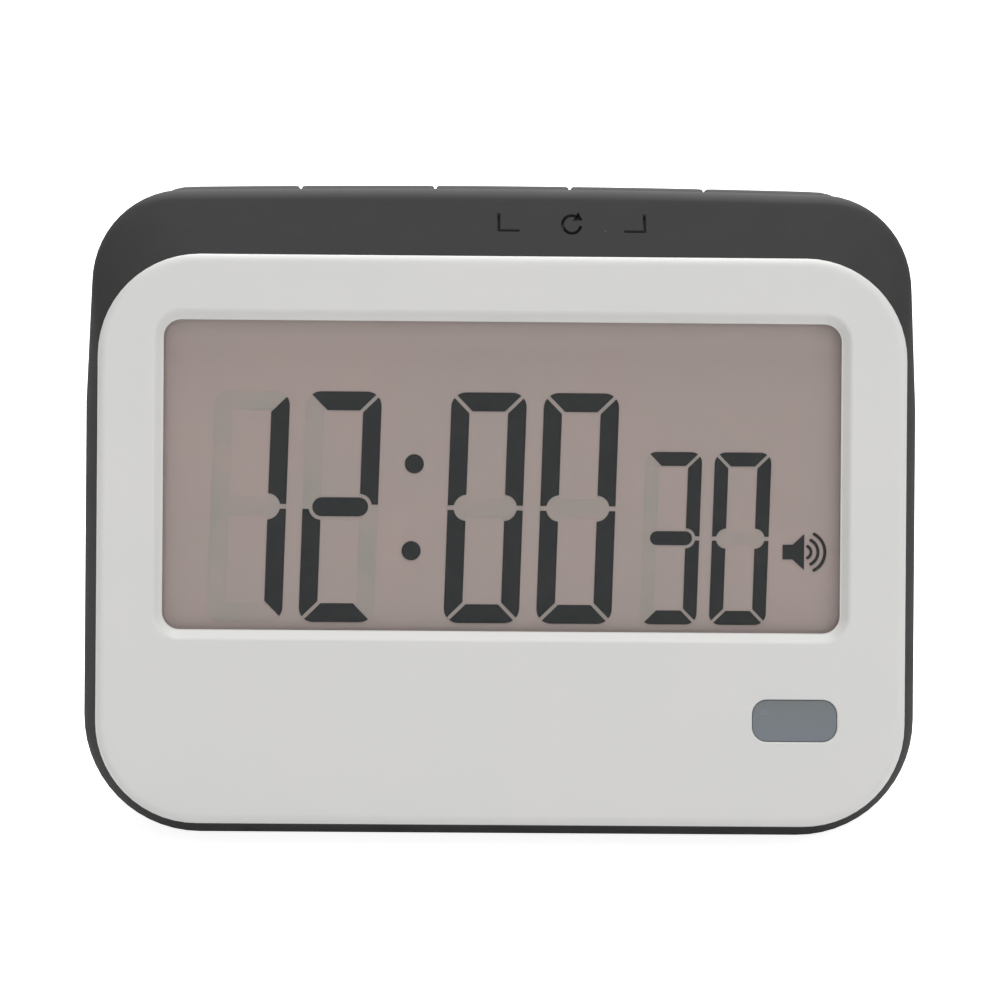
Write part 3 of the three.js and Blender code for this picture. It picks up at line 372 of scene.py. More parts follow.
# Each look: colour and partner colour in patches, scale of the patches, roughness from and to,
# scale of the grain, strength of its bump, and what is special to it
specular = "Specular IOR Level"
looks = {
    "bezelWhite": [(208, 208, 206), (211, 210, 208), 60, (0.36, 0.44), 5200, 0.05, {specular: 0.4}],
    "softShell": [(58, 58, 58), (61, 61, 61), 180, (0.72, 0.82), 4200, 0.2, {
        # up-facing surfaces turn lighter: painted sheen standing in for top light on the ridge, partly dust
        specular: 0.03, "dust": {"from": 0.76, "colour": (94, 94, 94)},
        "specks": {"scale": 160, "size": 0.018, "colour": (112, 112, 112)}}],
    "softKey": [(58, 58, 58), (61, 61, 61), 240, (0.72, 0.82), 4200, 0.2, {
        # up-facing surfaces turn lighter: painted sheen standing in for top light on the key fronts, partly
        # dust
        specular: 0.03, "dust": {"from": 0.72, "colour": (99, 99, 99)}}],
    "padFoam": [(36, 36, 37), (48, 48, 49), 900, (0.85, 0.95), 2600, 0.7, {specular: 0.2, "relief": 0.00006}],
    "smokeLens": [(105, 111, 119), (108, 114, 122), 150, (0.22, 0.28), 3000, 0.06, {
        specular: 0.4, "rise": {"low": 0.0155, "high": 0.0215, "colour": (103, 110, 112)}}],
    # the display film's rise lightens it toward the window's top edge: painted light cancelling the shade
    # cast there
    "displayFilm": [(172, 161, 156), (179, 162, 157), 46, (0.42, 0.5), 3800, 0.03, {
        specular: 0.25, "rise": {"low": 0.0669, "high": 0.0712, "colour": (192, 178, 173)}}],
    "litSegment": [(52, 54, 55), (56, 57, 57), 90, (0.4, 0.48), 3800, 0.02, {specular: 0.1}],
    "idleSegment": [(160, 156, 150), (175, 161, 155), 120, (0.42, 0.5), 3800, 0.02, {specular: 0.25}],
    "clearCover": [(30, 31, 31), (36, 36, 36), 60, (0.04, 0.08), 900, 0.01, {"Alpha": 0.06, specular: 0.0}],
    "displayGlass": [(150, 146, 140), (158, 152, 146), 60, (0.06, 0.1), 900, 0.01, {specular: 0.6}],
    "blackPlastic": [(33, 33, 36), (41, 41, 44), 420, (0.45, 0.58), 3600, 0.2, {specular: 0.5}],
    "stripRubber": [(142, 144, 150), (150, 152, 157), 300, (0.75, 0.85), 2600, 0.3, {
        "stripes": {"axis": "X", "scale": 900, "colour": (58, 58, 60)}}],
    "boardLaminate": [(38, 92, 54), (46, 104, 62), 260, (0.38, 0.5), 1800, 0.15, {
        "stripes": {"axis": "DIAGONAL", "scale": 42, "colour": (52, 116, 68)}}],
    "epoxy": [(20, 20, 21), (28, 28, 29), 300, (0.22, 0.34), 700, 0.2, {}],
    "steel": [(176, 179, 183), (194, 196, 199), 500, (0.26, 0.38), 2400, 0.12, {
        "stretch": (1.0, 8.0, 1.0), "Metallic": 1.0}],
    "copperWire": [(170, 104, 62), (188, 120, 74), 500, (0.3, 0.42), 2400, 0.12, {
        "Metallic": 1.0, "stripes": {"axis": "Y", "scale": 900, "colour": (132, 76, 44)}}],
    "brass": [(196, 158, 78), (210, 174, 94), 260, (0.3, 0.42), 1800, 0.1, {
        "stretch": (1.0, 1.0, 9.0), "Metallic": 1.0}],
    "ceramic": [(222, 218, 206), (230, 227, 217), 420, (0.45, 0.58), 2800, 0.15, {}],
    "cellSleeve": [(44, 74, 102), (50, 82, 110), 120, (0.24, 0.32), 900, 0.03, {
        "Coat Weight": 0.4, "Coat Roughness": 0.15}],
    "ribbonFilm": [(196, 192, 180), (204, 200, 190), 300, (0.4, 0.5), 1400, 0.05, {
        "stripes": {"axis": "X", "scale": 130, "colour": (158, 152, 138)}}],
    "wireRed": [(168, 30, 30), (180, 40, 38), 500, (0.4, 0.5), 2600, 0.08, {}],
    "wireBlack": [(30, 30, 31), (38, 38, 39), 500, (0.4, 0.5), 2600, 0.08, {}],
    "ledEpoxy": [(206, 210, 212), (214, 217, 219), 300, (0.12, 0.2), 900, 0.03, {"Subsurface Weight": 0.2}],
}
finishes = {name: makeFinish(name, look) for name, look in looks.items()}
print("finishes made:", len(finishes))


# Camera: square to the leaning face, fitted to the photograph's bezel and window corners

cameraForm = {
    "lens": 164.48, "sensor": 36.0, "distance": 620.0, "offset": (0.247, -5.531), "targetRise": 38.65,
    "turns": (("Z", -0.434), ("X", -0.264), ("Y", -0.888)), "clip": (0.01, 50),
}


def makeCamera():
    turn = Matrix.Identity(3)
    for axis, degrees in cameraForm["turns"]:
        turn = turn @ Matrix.Rotation(math.radians(degrees), 3, axis)
    offset = Vector((*cameraForm["offset"], cameraForm["distance"]))
    eye = -(turn.transposed() @ offset)  # right, up and depth from the target
    eyePlace = facePlace @ Vector((eye.x, eye.z, cameraForm["targetRise"] + eye.y))
    axes = [leanTurn.to_3x3() @ Vector((row.x, row.z, row.y)) for row in turn]
    bpy.ops.object.camera_add()
    camera = bpy.context.object
    camera.data.sensor_width = cameraForm["sensor"]
    camera.data.lens = cameraForm["lens"]
    camera.data.clip_start, camera.data.clip_end = cameraForm["clip"]
    columns = Matrix((axes[0], axes[1], -axes[2])).transposed()
    camera.matrix_world = Matrix.Translation(eyePlace) @ columns.to_4x4()
    scene.camera = camera


makeCamera()


# Light and floor

lampAim = Vector((0, 0, 0.04))
lampRig = {  # place, size and power
    "highFront": ((0.05, -0.3, 1.1), 0.8, 5.6),
    "overhead": ((0.05, 0.1, 1.1), 0.8, 5.6),
    "topBack": ((0, 0.85, 0.8), 0.7, 6.0),
    "rightBox": ((0.95, -0.75, 0.4), 0.7, 3.0),
    "frontFill": ((-0.15, -1.3, 0.3), 0.9, 2.5),
    "leftFill": ((-0.7, -0.5, 0.8), 0.7, 0.8),
}
surround = {"ambient": 0.15, "floorSize": 24.0, "floorGlow": 0.9, "floorRoughness": 0.9}
surround["floorColour"] = (240, 240, 240)
white = (1, 1, 1, 1)


def makeLamp(name, place, size, power):
    bpy.ops.object.light_add(type="AREA", location=place)
    light = newest(name)
    light.data.shape = "SQUARE"
    light.data.size = size
    light.data.energy = power
    light.rotation_euler = (lampAim - Vector(place)).to_track_quat("-Z", "Y").to_euler()
    light.visible_camera = False


def seenShare(tree):  # 1 for what the camera, a reflection or a clear piece sees
    path = addNode(tree, "LightPath").outputs
    total = path["Is Camera Ray"]
    for kind in ("Is Glossy Ray", "Is Transmission Ray"):
        larger = addNode(tree, "Math")
        larger.operation = "MAXIMUM"
        feed(tree, larger.inputs[0], total)
        feed(tree, larger.inputs[1], path[kind])
        total = larger.outputs[0]
    return total


def makeWorld():
    scene.world = bpy.data.worlds.new("studio")
    scene.world.use_nodes = True
    tree = scene.world.node_tree
    back = tree.nodes["Background"]
    feed(tree, back.inputs["Color"], white)
    feed(tree, back.inputs["Strength"], ramp(tree, seenShare(tree), 0, 1, surround["ambient"], 1.0))


def makeFloor():
    bpy.ops.mesh.primitive_plane_add(size=surround["floorSize"])
    floor = newest("floor")
    finish = bpy.data.materials.new("paleFloor")
    finish.use_nodes = True
    tree = finish.node_tree
    values = {
        "Base Color": linear(surround["floorColour"]), "Roughness": surround["floorRoughness"],
        specular: 0.0, "Emission Color": white,
        "Emission Strength": ramp(tree, seenShare(tree), 0, 1, 0.0, surround["floorGlow"]),
    }
    for name, value in values.items():
        feed(tree, tree.nodes["Principled BSDF"].inputs[name], value)
    floor.data.materials.append(finish)


for lampName, lampValues in lampRig.items():
    makeLamp(lampName, *lampValues)
makeWorld()
makeFloor()
scene.view_settings.view_transform = "Standard"
print("camera, lamps and floor in place")


# Front bezel

bezelForm = {
    "width": 110.0, "height": 77.3, "corner": 13.8, "plate": 2.2, "edge": 0.9, "edgeWidth": 1.3, "steps": 14,
    "lipDepth": 4.2, "lipWall": 1.3, "lipInset": 2.3, "bossRadius": 2.3, "pilotRadius": 1.2, "postPilot": 1.3,
    "hookSpacing": 50.0, "hookWidth": 8.0, "hookThickness": 1.8, "hookTooth": 1.2,
}
windowForm = {
    "width": 92.2, "low": 26.3, "top": 68.4, "corner": 2.4, "seat": 1.5, "lap": 1.8,
    "chamfer": [(1.48, 0.004), (1.33, 0.03), (1.18, 0.1), (1.04, 0.2), (0.94, 0.3), (0.2, 1.04), (0.13, 1.08),
                (0.02, 1.1), (0.0, 1.12)],
}
lensForm = {
    "x": 39.97, "rise": 14.45, "width": 11.5, "height": 5.7, "corner": 2.0, "recess": 0.2, "round": 0.15,
    "flange": 1.0, "flangeDepth": 1.2, "holeGap": 0.03, "holeRound": 0.2, "holeStart": 0.004,
}
boardForm = {
    "front": 9.6, "thickness": 1.6, "top": 70.6, "screwLength": 6.0, "lowScrewX": 20.0, "lowScrewRise": 8.9,
}
windowMiddle = (windowForm["low"] + windowForm["top"]) / 2
plate = bezelForm["plate"]
bezelHalf = bezelForm["width"] / 2
bossRadius = bezelForm["bossRadius"]
pilotRadius = bezelForm["pilotRadius"]
lipBack = plate + bezelForm["lipDepth"]
lipInner = bezelForm["lipInset"] + bezelForm["lipWall"]
postX = bezelHalf - lipInner - fit - bossRadius
postRise = 20.4
screwX = lensForm["x"] - lensForm["width"] / 2 - lensForm["flange"] - fit - bossRadius
boardScrewSpots = [(side * screwX, postRise) for side in bothSides]
boardScrewSpots += [(side * boardForm["lowScrewX"], boardForm["lowScrewRise"]) for side in bothSides]
boardBack = boardForm["front"] + boardForm["thickness"]


def bezelLoop(depth, inset):
    corner = bezelForm["corner"] - inset
    points = outline(bezelHalf - inset, inset, bezelForm["height"] - inset, corner, corner,
                     steps=bezelForm["steps"])
    return [(x, depth, z) for x, z in points]


def windowLoop(depth, spread):
    width = windowForm["width"] + 2 * spread
    height = windowForm["top"] - windowForm["low"] + 2 * spread
    return roundedLoop((0, windowMiddle), width, height, windowForm["corner"] + spread, depth)


def lensLoop(depth, spread):
    width = lensForm["width"] + 2 * spread
    height = lensForm["height"] + 2 * spread
    return roundedLoop((lensForm["x"], lensForm["rise"]), width, height, lensForm["corner"] + spread, depth)


def windowCutter():  # a soft-edged chamfer down to a narrow land round the display
    chamfer = windowForm["chamfer"]
    levels = [(chamfer[0][0], -through)] + chamfer + [(0, plate + through)]
    return loft("windowCut", [windowLoop(depth, spread) for spread, depth in levels])


def lensCutter():  # flares out in a round where it meets the front
    base = lensForm["holeGap"]
    flare = lensForm["holeRound"]
    loops = [lensLoop(depth, base + flare) for depth in (-through, lensForm["holeStart"])]
    loops += [lensLoop(flare * c, base + flare * s) for c, s in quarterRound(8)[1:]]
    return loft("lensCut", loops + [lensLoop(plate + through, base)])


def boardHook(side):
    root = plate - layer
    low = boardForm["top"] + fit
    high = low + bezelForm["hookThickness"]
    tooth = boardBack + fit
    tip = boardForm["top"] - bezelForm["hookTooth"]
    end = tooth + bezelForm["hookTooth"]
    profile = [(root, low), (tooth, low), (tooth, tip), (end, tip), (end, high), (root, high)]
    x = side * bezelForm["hookSpacing"] / 2
    half = bezelForm["hookWidth"] / 2
    return bar("hook", profile, x - half, x + half)


def makeBezel():
    root = plate - layer
    loops = [bezelLoop(bezelForm["edge"] * c, bezelForm["edgeWidth"] * s) for c, s in quarterRound(8)]
    bezel = loft("bezelFront", loops + [bezelLoop(plate, 0)])
    lip = loft("lip", [bezelLoop(depth, bezelForm["lipInset"]) for depth in (root, lipBack)])
    hollowEnds = (plate - 2 * layer, lipBack + through)
    hollow = loft("lipHollow", [bezelLoop(depth, lipInner) for depth in hollowEnds])
    join(bezel, cut(lip, hollow), boardHook(-1), boardHook(1))
    postSpots = [(side * postX, postRise) for side in bothSides]
    for spots, height in ((boardScrewSpots, boardForm["front"] - layer), (postSpots, lipBack)):
        for x, rise in spots:
            join(bezel, rod("boss", (x, 0, rise), alongY, bossRadius, root, height))
    pilotStart = boardBack - boardForm["screwLength"] - fit
    for spots, radius, start, end in ((boardScrewSpots, pilotRadius, pilotStart, boardForm["front"]),
                                      (postSpots, bezelForm["postPilot"], plate + fit, lipBack)):
        for x, rise in spots:
            cut(bezel, rod("pilot", (x, 0, rise), alongY, radius, start, end + through, 16))
    cut(bezel, windowCutter())
    lap = windowForm["lap"]
    seatHalf = windowForm["width"] / 2 + lap
    cut(bezel, block("coverRebate", (-seatHalf, windowForm["seat"], windowForm["low"] - lap),
                     (seatHalf, plate + through, windowForm["top"] + lap)))
    cut(bezel, lensCutter())
    finishPiece(bezel, facePlace, "bezelWhite", "front_bezel")


makeBezel()
print("bezel made")


# Alarm lens

flangeFront = plate + layer
flangeBack = flangeFront + lensForm["flangeDepth"]


def makeLens():
    rounding = lensForm["round"]
    loops = [lensLoop(lensForm["recess"] + rounding * c, -rounding * s) for c, s in quarterRound(4)]
    loops += [lensLoop(flangeFront, 0), lensLoop(flangeFront, lensForm["flange"])]
    lens = loft("alarmLens", loops + [lensLoop(flangeBack, lensForm["flange"])])
    finishPiece(lens, facePlace, "smokeLens", "alarm_lens")


makeLens()
print("lens made")


# Rear shell

shellForm = {
    "wall": 2.0, "shoulderRise": 9.55, "shoulderRun": 9.4, "ridgeRadius": 4.0, "softRidge": 7.0,
    "topCorner": 12.6, "sideTaper": 0.7, "taperLength": 29.0, "crown": 0.45, "deckDepth": 13.0,
    "backRound": 4.0, "backTaper": 0.8, "shoulderSteps": 6, "ridgeSteps": 14, "backSteps": 8,
    "cornerSteps": 14, "across": 28, "postRadius": 3.6, "postReach": 10.0, "holeRadius": 1.3,
    "wellRadius": 2.7, "wellSeat": 20.8, "wellRound": 0.5, "wellReach": 4.0, "keyPilotLength": 4.7,
    "edgeRound": 0.3,
}
wall = shellForm["wall"]
bodyHalf = bezelHalf + stance["sideRise"]
shellFront = plate + parting
ridgeAngle = math.atan2(shellForm["shoulderRise"], shellForm["shoulderRun"])
ridgeSharp = shellFront + shellForm["shoulderRun"]
deckFront = ridgeSharp + shellForm["ridgeRadius"] * math.tan(ridgeAngle / 2)
deckRise = bezelForm["height"] + shellForm["shoulderRise"]
deckCorner = leanInStand @ Vector((0, deckFront + shellForm["deckDepth"], deckRise))
backLoopY = deckCorner.y
backTop = deckCorner.z
backY = backLoopY + shellForm["backRound"]
crownHalf = bodyHalf - shellForm["sideTaper"] - shellForm["topCorner"]


def crownAt(x):  # rises to the middle and follows the corner's arc past the straight
    past = abs(x) - crownHalf
    if past <= 0:
        return shellForm["crown"] * (1 - (x / crownHalf) ** 2)
    corner = shellForm["topCorner"]
    return math.sqrt(corner ** 2 - past ** 2) - corner


def floorRise(depth):
    return (depth * math.sin(lean) - faceLift) / math.cos(lean)


def shoulderStations():
    radius = shellForm["softRidge"]
    reach = radius * math.tan(ridgeAngle / 2)
    straightEnd = ridgeSharp - reach * math.cos(ridgeAngle)
    slope = shellForm["shoulderRise"] / shellForm["shoulderRun"]
    stations = []
    for i in range(shellForm["shoulderSteps"]):
        depth = blend(shellFront, straightEnd, i / shellForm["shoulderSteps"])
        stations.append((depth, bezelForm["height"] + (depth - shellFront) * slope))
    for i in range(shellForm["ridgeSteps"] + 1):
        angle = math.pi / 2 + ridgeAngle * (1 - i / shellForm["ridgeSteps"])
        depth = ridgeSharp + reach + radius * math.cos(angle)
        stations.append((depth, deckRise - radius + radius * math.sin(angle)))
    return stations


def shellOutline(half, low, top, lowCorner, topCorner, lifted, tallest):
    taper = shellForm["sideTaper"] * lifted  # lifted is 0 at the bezel, 1 at the deck
    crown = shellForm["crown"] * lifted
    return outline(half, low, top, lowCorner, topCorner, taper, tallest - shellForm["taperLength"], crown,
                   shellForm["cornerSteps"], shellForm["across"])


def shellFaceLoop(depth, top, inset):
    share = clamp((depth - shellFront) / (deckFront - shellFront))
    flare = math.sin(math.pi / 2 * share)
    lifted = clamp((top + inset - bezelForm["height"]) / shellForm["shoulderRise"])
    low = max(-stance["bottomRise"] * flare, floorRise(depth)) + inset
    spread = stance["sideRise"] * flare - inset
    topCorner = blend(bezelForm["corner"], shellForm["topCorner"], lifted) - inset
    lowCorner = bezelForm["corner"] + spread
    points = shellOutline(bezelHalf + spread, low, top, lowCorner, topCorner, lifted, top + inset)
    return [leanInStand @ Vector((x, depth, z)) for x, z in points]


def shellBackLoop(out, inset):
    spread = stance["sideRise"] - inset
    half = bodyHalf - shellForm["backTaper"] - inset
    topCorner = shellForm["topCorner"] - inset
    points = shellOutline(half, inset, backTop - inset, bezelForm["corner"] + spread, topCorner, 1, backTop)
    return [Vector((x, backLoopY + out, z)) for x, z in points]


def backLoops(rounding, inset, steps):
    return [shellBackLoop(rounding * (1 - s), inset + rounding * c) for c, s in quarterRound(steps)]


def shellOuter():
    loops = [shellFaceLoop(depth, top, 0) for depth, top in shoulderStations()]
    return loft("shellRear", loops + backLoops(shellForm["backRound"], 0, shellForm["backSteps"]))


def shellCavity():
    low = bezelForm["height"] - wall
    loops = [shellFaceLoop(depth, low, wall) for depth in (shellFront - through, shellFront, lipBack - fit)]
    loops.append(shellFaceLoop(deckFront, deckRise - wall, wall))
    return loft("cavity", loops + backLoops(shellForm["backRound"] - wall, wall, 3))


# Key row and its switches: their places are needed for the shell

keyForm = {
    "names": ["mode", "hour", "minute", "second", "start"], "rowInset": 10.6, "gap": 0.34, "depth": 10.4,
    "frontMargin": 1.6, "proud": 0.6, "endFade": 3.6, "edge": 0.5, "sideRun": 0.36, "frontEdge": 0.9,
    "frontRun": 2.4, "corner": 1.2, "flange": 1.2, "flangeDrop": 0.8, "stemRadius": 2.2, "stemLength": 0.7,
    "stemEdge": 0.2, "strips": 8, "slotFlare": 0.35, "slotAcross": 24,
}
switchForm = {
    "size": 6.0, "height": 3.4, "plunger": 1.7, "reach": 1.2, "depth": 1.4, "travel": 0.5, "edge": 0.25,
    "rivetSpacing": 2.2, "rivet": [(0.5, -0.1), (0.5, 0.06), (0.3, 0.16)],
}
keyRow = 2 * (bodyHalf - keyForm["rowInset"])
keyPitch = keyRow / len(keyForm["names"])
keyWidth = keyPitch - keyForm["gap"]
keyMiddleIndex = (len(keyForm["names"]) - 1) / 2
keyCentres = {name: (i - keyMiddleIndex) * keyPitch for i, name in enumerate(keyForm["names"])}
keyTop = deckRise + keyForm["proud"]
keyFront = deckFront + keyForm["frontMargin"]
keyBack = keyFront + keyForm["depth"]
keyMiddle = (keyFront + keyBack) / 2
keyFlangeTop = deckRise - wall - keyForm["flangeDrop"]
keyFlangeLow = keyFlangeTop - keyForm["flange"]
keyBossX = keyRow / 2 + 3 * fit + bossRadius
stemLow = keyFlangeLow - keyForm["stemLength"]
plungerTop = stemLow - fit
switchTop = plungerTop - switchForm["reach"]
keyBoardTop = switchTop - switchForm["height"] - layer
keyBoardLow = keyBoardTop - boardForm["thickness"]


def deckRing(half, front, back, corner, rise):
    across = keyForm["slotAcross"]
    points = outline(half, front, back, corner, corner, steps=4, across=across)
    points += [((half - corner) * (2 * i / across - 1), front) for i in range(1, across)]
    return [(x, depth, rise + crownAt(x)) for x, depth in points]


def keySlotCutter():
    half = keyRow / 2 + fit
    front = keyFront - fit
    back = keyBack + fit
    corner = keyForm["corner"] + fit
    levels = [(0, deckRise - wall - through)]
    levels += flareSteps(deckRise, keyForm["slotFlare"], 4, deckRise + through)
    loops = [deckRing(half + s, front - s, back + s, corner + s, rise) for s, rise in levels]
    return applyPlace(loft("keySlot", loops), leanInStand)


# Battery bay, door, pad and sounder sizes in the stand frame

bayForm = {
    "lift": 10.0, "wall": 1.4, "cellDiameter": 10.5, "cellLength": 44.5, "cellGap": 0.4, "springLength": 5.5,
    "contactThickness": 0.4, "contactSize": 9.0, "contactCorner": 1.0, "tabWidth": 2.4, "tabReach": 2.2,
    "nubBoss": [(2.4, -0.1), (2.4, 0.0), (1.9, 0.22), (1.2, 0.26)],
}
doorForm = {
    "thickness": 2.0, "ledge": 1.0, "tabWidth": 5.0, "tabSpacing": 32.0, "tabThickness": 1.1, "tabReach": 1.3,
    "tabRoot": 0.8, "tabSwing": 4.4, "edge": 0.35, "corner": 0.8, "squareFoot": 3.0, "recessCorner": 0.3,
}
tongueForm = {"width": 10.0, "thickness": 1.1, "reach": 2.0, "edge": 0.25}
gripForm = {"count": 4, "pitch": 1.7, "length": 16.0, "radius": 0.7, "depth": 0.35, "top": 4.0, "point": 0.02}
notchForm = {"width": 14.0, "radius": 6.0, "depth": 1.0}
cellRadius = bayForm["cellDiameter"] / 2
contactRoom = layer + bayForm["contactThickness"]
bayHalf = (bayForm["cellLength"] + bayForm["springLength"] + 2 * (contactRoom + fit)) / 2
bayLow = bayForm["lift"]
bayTop = bayLow + 2 * bayForm["cellDiameter"] + 3 * bayForm["cellGap"]
doorSeat = backY - doorForm["thickness"] - fit
bayFront = doorSeat - bayForm["cellDiameter"] - 2 * bayForm["cellGap"]
tabTip = bayFront - bayForm["wall"] - bayForm["tabReach"]
cellY = doorSeat - bayForm["cellGap"] - cellRadius
lowerCellZ = bayLow + bayForm["cellGap"] + cellRadius
upperCellZ = lowerCellZ + bayForm["cellDiameter"] + bayForm["cellGap"]
doorLow = bayLow - doorForm["ledge"] + fit
doorTop = bayTop + doorForm["ledge"] - fit
doorHalf = bayHalf + doorForm["ledge"] - fit
doorTabLow = doorLow - doorForm["tabReach"]

padForm = {"thickness": 0.8, "proud": 0.3, "margin": 4.0, "corner": 2.0, "edge": 0.25, "edgeShare": 0.3}
padHalf = bodyHalf - bezelForm["corner"] - stance["sideRise"] - padForm["margin"]
padFront = (leanInStand @ Vector((0, stance["baseDepth"], -stance["bottomRise"]))).y + padForm["margin"]
padBack = backLoopY - padForm["margin"]
padTop = padForm["thickness"] - padForm["proud"]

sounderForm = {
    "lift": 60.0, "radius": 12.0, "ringHeight": 3.0, "ringWall": 1.2, "holeRadius": 1.0, "holeCircle": 5.0,
    "holeCount": 6, "holeRound": 0.35,
}
sounderSpot = (0, 0, sounderForm["lift"])
ringFront = backY - wall - sounderForm["ringHeight"]
ringOuter = sounderForm["radius"] + sounderForm["ringWall"] / 2


def doorRecessCutter():
    width = 2 * (doorHalf + fit)
    height = doorTop - doorLow + 2 * fit
    corner = doorForm["recessCorner"]
    middle = (0, (doorLow + doorTop) / 2)
    levels = [(0, doorSeat)] + flareSteps(backY, shellForm["edgeRound"], 3, backY + through)
    loops = [roundedLoop(middle, width + 2 * s, height + 2 * s, corner + s, depth, 4) for s, depth in levels]
    return loft("doorRecess", loops)


def flaredHole(name, base, along, radius, start, surface, flare, end, sides):
    profile = [(radius, start)] + [(radius + s, level) for s, level in flareSteps(surface, flare, 3, end)]
    return turned(name, base, along, profile, sides)


def notchCutter():
    radius = notchForm["radius"]
    depth = notchForm["depth"]
    end = notchForm["width"] / 2
    profile = [(radius - depth * s, depth * c - end) for c, s in quarterRound(6)]
    return turned("notch", (0, backY + radius - depth, doorTop), alongX, mirrored(profile), 64)


def padLoop(rise, inset, steps):
    corner = padForm["corner"] - inset
    points = outline(padHalf - inset, padFront + inset, padBack - inset, corner, corner, steps=steps)
    return [(x, y, rise) for x, y in points]


# Marks pressed into the shoulder: two corner brackets and a plain turning arrow between them

markForm = {
    "depth": 0.75, "stroke": 0.36, "taper": 0.4, "lip": 0.1, "left": -0.63, "right": 19.38, "low": 4.95,
    "high": 8.4, "foot": 2.97, "arrowDrop": 0.3,
}
arrowForm = {
    "radius": 1.25, "stretch": 1.4, "width": 0.42, "fromAngle": 60, "toAngle": 350, "reach": 0.75,
    "root": 0.1, "length": 1.5,
}


def shoulderPlace(x, along):  # a frame on the shoulder: x, up the slope, outwards
    run = along * math.cos(ridgeAngle)
    lifted = clamp(run / shellForm["shoulderRun"])
    straight = blend(bezelHalf - bezelForm["corner"], crownHalf, lifted)
    crown = shellForm["crown"] * lifted * (1 - (x / straight) ** 2)
    rise = bezelForm["height"] + run * shellForm["shoulderRise"] / shellForm["shoulderRun"] + crown
    spot = Vector((x, shellFront + run, rise))
    return leanInStand @ Matrix.Translation(spot) @ Matrix.Rotation(ridgeAngle, 4, "X")


def sunk(name, points, depth):
    return loft(name, [[(a, b, rise) for a, b in points] for rise in (-depth, through)])


def turningArrow(place, depth, radius, stretch, width, fromAngle, toAngle, reach, root, length):
    band = arc((0, 0), radius + width / 2, fromAngle, toAngle, 24)
    band += arc((0, 0), radius - width / 2, toAngle, fromAngle, 24)
    end = math.radians(fromAngle)
    out = Vector((math.cos(end), math.sin(end)))
    ahead = Vector((math.sin(end), -math.cos(end)))
    start = out * radius - ahead * root
    tips = [start - out * reach, start + out * reach, start + ahead * reach * length]
    arrow = join(sunk("arrowRing", band, depth), sunk("arrowHead", tips, depth))
    return applyPlace(arrow, place @ Matrix.Diagonal((1, stretch, 1, 1)))  # reads round from the front


def shoulderMarks(depth, stroke, taper, lip, left, right, low, high, foot, arrowDrop):
    middle = (high + low) / 2
    levels = [(-taper * stroke, -depth), (0.0, -lip), (lip, 0.0), (2 * lip, lip)]
    strokes = []
    for x, side in ((left, 1), (right, -1)):
        strokes.append((x, middle, stroke, high - low))
        strokes.append((x + side * (foot - stroke) / 2, low + stroke / 2, foot, stroke))
    tools = []
    for x, along, width, height in strokes:  # tapered grooves with a softened lip
        sizes = [(width / 2 + spread, height / 2 + spread, rise) for spread, rise in levels]
        loops = [[(sx * a, sy * b, rise) for sx, sy in fourCorners] for a, b, rise in sizes]
        tools.append(applyPlace(loft("stroke", loops), shoulderPlace(x, along)))
    return tools + [turningArrow(shoulderPlace((left + right) / 2, middle - arrowDrop), depth, **arrowForm)]


postEnd = backY + shellForm["postReach"]


def postFoot(side):
    return leanInStand @ Vector((side * postX, 0, postRise))


def keyBossFoot(side):
    return leanInStand @ Vector((side * keyBossX, keyMiddle, 0))


def addShellInside(shell):
    envelope = duplicate(shell, "envelope")
    cut(shell, shellCavity())
    bayWall = bayForm["wall"]
    join(shell, block("bayWalls", (-bayHalf - bayWall, bayFront - bayWall, bayLow - bayWall),
                      (bayHalf + bayWall, backY - wall / 2, bayTop + bayWall)))
    ring = rod("ring", sounderSpot, alongY, ringOuter, ringFront, backY - wall / 2, 48)
    inside = ringOuter - sounderForm["ringWall"]
    bore = rod("ringBore", sounderSpot, alongY, inside, ringFront - through, backY - wall, 48)
    join(shell, cut(ring, bore))
    for side in bothSides:
        post = rod("post", postFoot(side), depthAxis, shellForm["postRadius"], lipBack + fit, postEnd)
        join(shell, common(post, duplicate(envelope, "postLimit")))
        boss = rod("boss", keyBossFoot(side), riseAxis, bossRadius, keyBoardTop + layer, deckRise)
        join(shell, common(boss, duplicate(envelope, "bossLimit")))
    bpy.data.objects.remove(envelope, do_unlink=True)


